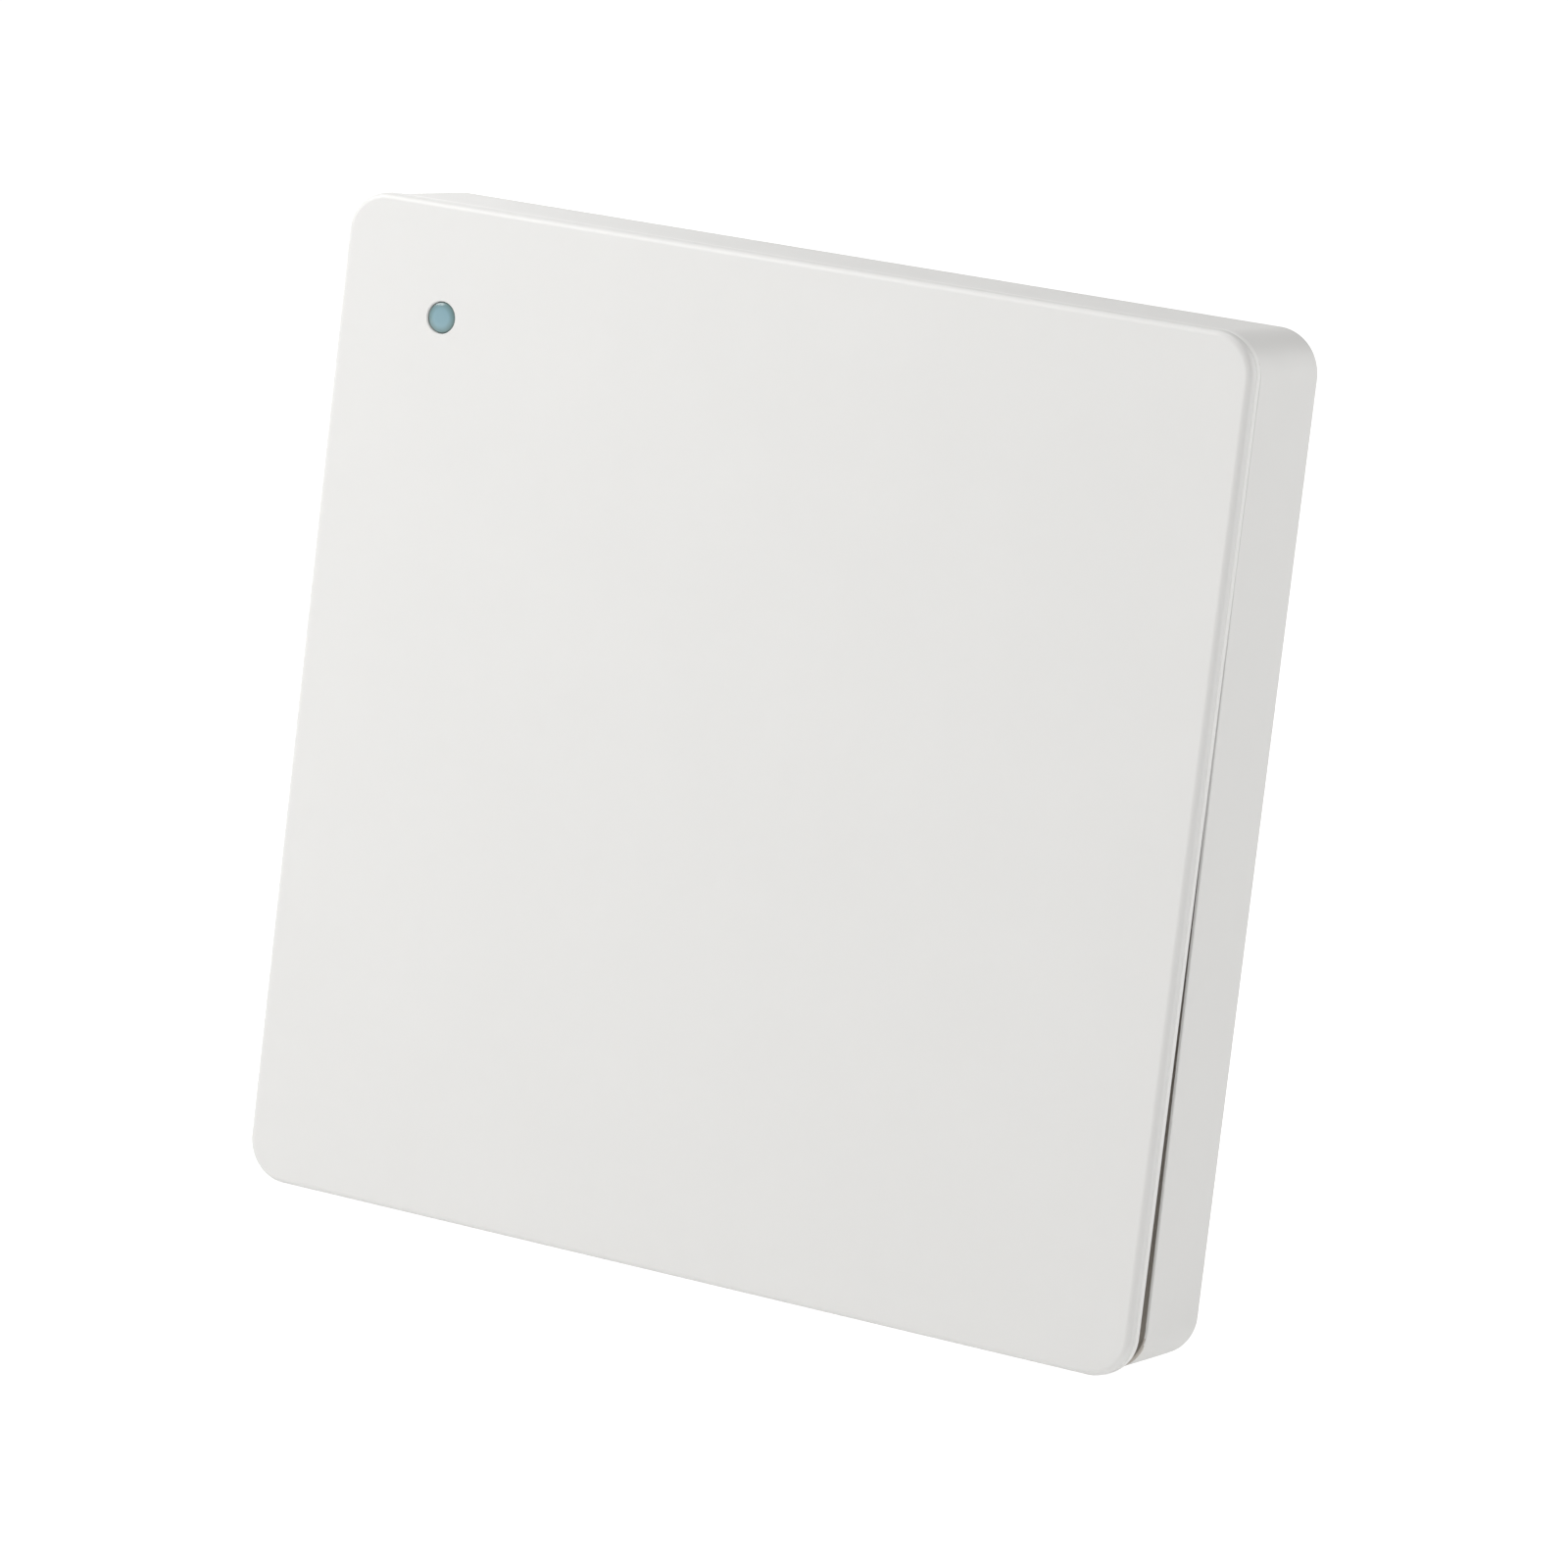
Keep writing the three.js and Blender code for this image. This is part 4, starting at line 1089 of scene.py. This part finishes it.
def makeCell():
    s = named(cellSize)
    rear, front, radius = s.rear, s.front, s.radius
    cell = makeObject(drawn(addTurned, [
        (0, rear + s.baseSink), (s.base[0], rear + s.baseSink), (s.base[1], rear),
        (radius - s.edge, rear), (radius - 0.1, rear + 0.1), (radius, rear + s.edge),
        (radius, front - 0.75), (radius - 0.08, front - 0.5), (radius - 0.3, front - 0.34),
        (s.crimp, front - 0.3), (s.crimp - 0.02, front - s.gasket), (s.cap, front - s.gasket),
        (s.cap, front - 0.28), (s.capFlat + 0.12, front - 0.1), (s.capFlat, front - 0.04),
        (s.capStep, front), (0, front),
    ], *s.axis, 96), "lithium_cell")
    pressedCan("cellCan", *s.axis, s.can)
    pressedCan("cellCap", *s.axis, s.lid, s.lidRing)
    finishPiece(cell, "steel", "coin_cell", "cellCan", "gasketBlack", "cellCap")
    away = lambda p: math.hypot(p.x - s.axis[0], p.z - s.axis[1])
    paint(cell, 1, lambda p, n: s.cap <= away(p) + 0.01 < s.crimp and -p.y > front - 0.5)
    paint(cell, 2, lambda p, n: away(p) < s.cap - 0.01 and -p.y > front - 0.4)


simpleSet = {
    # node: new name, slot, finish, softening of the edges
    "battery_holder": ("cell_holder", "black_plastic", "blackPlastic", 0.15),
    "battery_contact_positive": ("contact_plus_side", "spring_steel", "stripSteel", 0.06),
    "battery_contact_negative": ("contact_cap_side", "spring_steel", "stripSteel", 0.06),
    "key_switch_body": ("key_cup", "black_plastic", "blackPlastic", 0.1),
    "key_switch_frame": ("key_cover", "steel", "steelSheet", 0.05),
    "pair_switch_body": ("pair_cup", "black_plastic", "blackPlastic", 0.08),
    "pair_switch_frame": ("pair_cover", "steel", "steelSheet", 0.04),
}


def makeSimplePieces():
    for node, (name, slot, finish, soften) in simpleSet.items():
        finishPiece(copyOfNode(node, name), slot, node, finish, edge=soften)


shieldSize = dict(
    x=18, z=22, width=13, height=11, corner=0.6, rear=3.85, front=5.75, wall=0.2, topRound=0.3,
    innerRound=0.2, holeRadius=0.35, holePitch=1.8, columns=5, rows=4, soften=0.03,
)


def makeShield():
    s = named(shieldSize)
    bm = drawn(addSlab, s.width, s.height, s.corner, s.rear, s.front, s.x, s.z, 6)
    roundEdges(bm, s.rear, s.topRound, 3)
    shield = makeObject(bm, "shield_can")
    inside = drawn(
        addSlab, s.width - 2 * s.wall, s.height - 2 * s.wall, s.corner - s.wall,
        s.rear + s.wall, s.front + past, s.x, s.z, 6,
    )
    roundEdges(inside, s.rear + s.wall, s.innerRound, 3)
    combine(shield, inside, "DIFFERENCE")
    holes = bmesh.new()
    for column in range(s.columns):
        for row in range(s.rows):
            x = s.x + (column - (s.columns - 1) / 2) * s.holePitch
            z = s.z + (row - (s.rows - 1) / 2) * s.holePitch
            addDisc(holes, s.holeRadius, s.rear - past, s.rear + past, x, z, 20)
    combine(shield, holes, "DIFFERENCE")
    finishPiece(shield, "steel", "radio_shield", "steelSheet", edge=s.soften)


chipSize = dict(
    x=18, z=22, size=5, inset=0.03, corner=0.15, rear=4.9, front=5.75, lift=0.02, base=5.55,
    pads=8, pitch=0.5, padWidth=0.25, padLength=0.4, dot=0.3, dotInset=0.8, dotSink=0.06,
)


def makeChip():
    s = named(chipSize)
    x, z, half = s.x, s.z, s.size / 2
    width = s.size - 2 * s.inset
    chip = makeObject(
        drawn(addSlab, width, width, s.corner, s.rear, s.front - s.lift, x, z, 3),
        "radio_package",
    )
    combine(chip, drawn(
        addDisc, s.dot, s.rear - past, s.rear + s.dotSink, x - half + s.dotInset,
        z + half - s.dotInset, 24,
    ), "DIFFERENCE")
    pads = bmesh.new()
    wide = s.padWidth / 2
    for number in range(s.pads):
        along = (number - (s.pads - 1) / 2) * s.pitch
        for side in (-1, 1):
            x0, x1 = sorted((x + side * half, x + side * (half - s.padLength)))
            addBlock(pads, x0, x1, z + along - wide, z + along + wide, s.base, s.front)
            z0, z1 = sorted((z + side * half, z + side * (half - s.padLength)))
            addBlock(pads, x + along - wide, x + along + wide, z0, z1, s.base, s.front)
    combine(chip, pads, "UNION")
    finishPiece(chip, "black_plastic", "radio_chip", "blackPlastic", "tinnedEnd")
    paint(chip, 1, lambda p, n: -p.y > s.base - 0.02 and (
        max(abs(p.x - x), abs(p.z - z)) > half - 0.02))


crystalSize = dict(
    x=6, z=20, width=5, height=3.2, corner=0.35, rear=4.55, front=5.75, base=5.25, lidInset=0.25,
    lidCorner=0.9, lidRound=0.2, soften=0.05,
)


def makeCrystal():
    s = named(crystalSize)
    crystal = makeObject(
        drawn(addSlab, s.width, s.height, s.corner, s.base, s.front, s.x, s.z, 4), "crystal_can",
    )
    lid = drawn(
        addSlab, s.width - 2 * s.lidInset, s.height - 2 * s.lidInset, s.lidCorner, s.rear,
        s.base + 0.1, s.x, s.z, 8,
    )
    roundEdges(lid, s.rear, s.lidRound, 3)
    combine(crystal, lid, "UNION")
    finishPiece(
        crystal, "steel", "clock_crystal", "steelSheet", "ceramicBrown", edge=s.soften,
    )
    paint(crystal, 1, lambda p, n: -p.y > s.base + 0.06)


capacitorSize = dict(
    x=-6, zs=(24, 18), width=6, height=3.2, corner=0.2, rear=3.25, front=5.75, lift=0.1,
    tabWidth=2.2, tabReach=1.2, tabTop=0.4, tabThick=0.15, tabInset=0.05, band=1.1, parting=4.6,
    draft=0.03,
)


def makeCapacitors():
    s = named(capacitorSize)
    half, inset, low = s.width / 2, s.tabThick + s.tabInset, s.front - s.tabThick
    for number, z in enumerate(s.zs, 1):
        bm = drawn(
            addSlab, s.width - 2 * inset, s.height, s.corner, s.rear, s.front - s.lift, s.x, z, 3,
        )
        # drafted sides on both halves of the moulding, and an edge for the marked end
        splitAt(bm, (0, -s.parting, 0), (0, 1, 0))
        splitAt(bm, (s.x - half + s.band, 0, 0), (1, 0, 0))
        for v in bm.verts:
            draft = 1 - s.draft * abs(-v.co.y - s.parting)
            v.co.x = s.x + (v.co.x - s.x) * draft
            v.co.z = z + (v.co.z - z) * draft
        capacitor = makeObject(bm, f"tantalum_{number}")
        tabs = bmesh.new()
        z0, z1 = z - s.tabWidth / 2, z + s.tabWidth / 2
        for side in (-1, 1):
            # the tab's upright, its foot and the part that goes into the moulding
            for reach, rear, front in (
                (s.tabThick, s.parting, s.front), (s.tabReach, low, s.front),
                (s.tabTop, s.parting, s.parting + s.tabThick),
            ):
                x0, x1 = sorted((s.x + side * half, s.x + side * (half - reach)))
                addBlock(tabs, x0, x1, z0, z1, rear, front)
        combine(capacitor, tabs, "UNION")
        finishPiece(
            capacitor, "tantalum", f"bulk_capacitor_{number}", "tantalumYellow",
            "tinnedEnd", "bandBrown",
        )
        paint(capacitor, 2, lambda p, n: p.x < s.x - half + s.band)
        paint(capacitor, 1, lambda p, n: abs(p.x - s.x) > half - inset + 0.02
              or -p.y > s.front - 0.06)


aerialSize = dict(
    x=31, z=(17, 29), radius=1.3, wire=0.25, axisDepth=3.9, turns=8, foot=5.75, footRadius=0.4,
)


def makeAerial():
    s = named(aerialSize)
    z0, z1 = s.z
    aerial = makeObject(drawn(
        addCoil, s.radius, s.wire, (s.x, -s.axisDepth, z0), [(s.turns, (z1 - z0) / s.turns)], "Z",
        28,
    ), "aerial_coil")
    combine(aerial, drawn(addTurned, [
        (0, s.axisDepth - s.wire), (s.wire * 0.7, s.axisDepth - s.wire * 0.7),
        (s.wire, s.axisDepth), (s.wire, s.foot - 0.15), (s.footRadius - 0.02, s.foot - 0.03),
        (s.footRadius, s.foot), (0, s.foot),
    ], s.x + s.radius, z0, 24), "UNION")
    finishPiece(aerial, "gold_wire", "antenna_coil", "goldWire")


ledSize = dict(
    width=3, height=1.5, corner=0.12, rear=6.85, front=7.75, window=(1.7, 1.1, 0.3), sink=0.12,
    end=0.05, soften=0.03,
)


def makeLed():
    s = named(ledSize)
    x = lensAxis[0]
    led = makeObject(
        drawn(addSlab, s.width, s.height, s.corner, s.rear, s.front, *lensAxis, 3), "status_lamp",
    )
    window = drawn(addSlab, *s.window, s.front - s.sink, s.front + past, *lensAxis, 6)
    combine(led, window, "DIFFERENCE")
    finishPiece(
        led, "led_yellow", "status_led", "ledWhite", "ledYellow", "tinnedEnd", edge=s.soften,
    )
    paint(led, 1, lambda p, n: abs(-p.y - s.front + s.sink) < 0.03 and (
        abs(p.x - x) < s.window[0] / 2))
    paint(led, 2, lambda p, n: abs(p.x - x) > s.width / 2 - s.end)


domeSize = dict(z=-7, foot=8.25, crown=9.0, rim=2.1, thickness=0.12, travel=0.68)


def makeDome():
    s = named(domeSize)
    rise = s.crown - s.foot

    def shell(inset):
        return [
            ((s.rim - inset) * math.cos(t), s.foot + (rise - inset) * math.sin(t))
            for t in arc(*range(0, 90, 9))
        ]

    dome = makeObject(drawn(addTurned, [
        (0, s.crown - s.thickness), *reversed(shell(s.thickness)), *shell(0), (0, s.crown),
    ], 0, s.z), "key_dome")
    finishPiece(dome, "spring_steel", "key_switch_dome", "springSteel")
    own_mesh(dome)


stemSet = {
    # node: new name, body, where its axis is, its profile of (radius, depth)
    "key_plunger": ("key_stem", "key_plunger", (0, -7), [
        (0, 9.05), (2.14, 9.05), (2.2, 9.11), (2.2, 9.44), (2.14, 9.5), (1.76, 9.5),
        (1.7, 9.56), (1.7, 10.4), (1.64, 10.52), (1.5, 10.6), (0.5, 10.6), (0.4, 10.55),
        (0, 10.55),
    ]),
    "pair_button": ("pair_stem", "pair_button", (14, 0), [
        (0, 2.3), (0.78, 2.3), (0.86, 2.34), (0.9, 2.42), (0.9, 4.4), (0.94, 4.45),
        (1.2, 4.45), (1.25, 4.5), (1.25, 4.75), (1.2, 4.8), (0, 4.8),
    ]),
}


def makeStems():
    for node, (name, body, axis, profile) in stemSet.items():
        stem = makeObject(drawn(addTurned, profile, *axis), name)
        finishPiece(stem, "black_plastic", node, "blackPlastic", body=body)


makeBoard()
makeScrews()
makeCell()
makeSimplePieces()
makeShield()
makeChip()
makeCrystal()
makeCapacitors()
makeAerial()
makeLed()
makeDome()
makeStems()
print("the board and its parts are built")
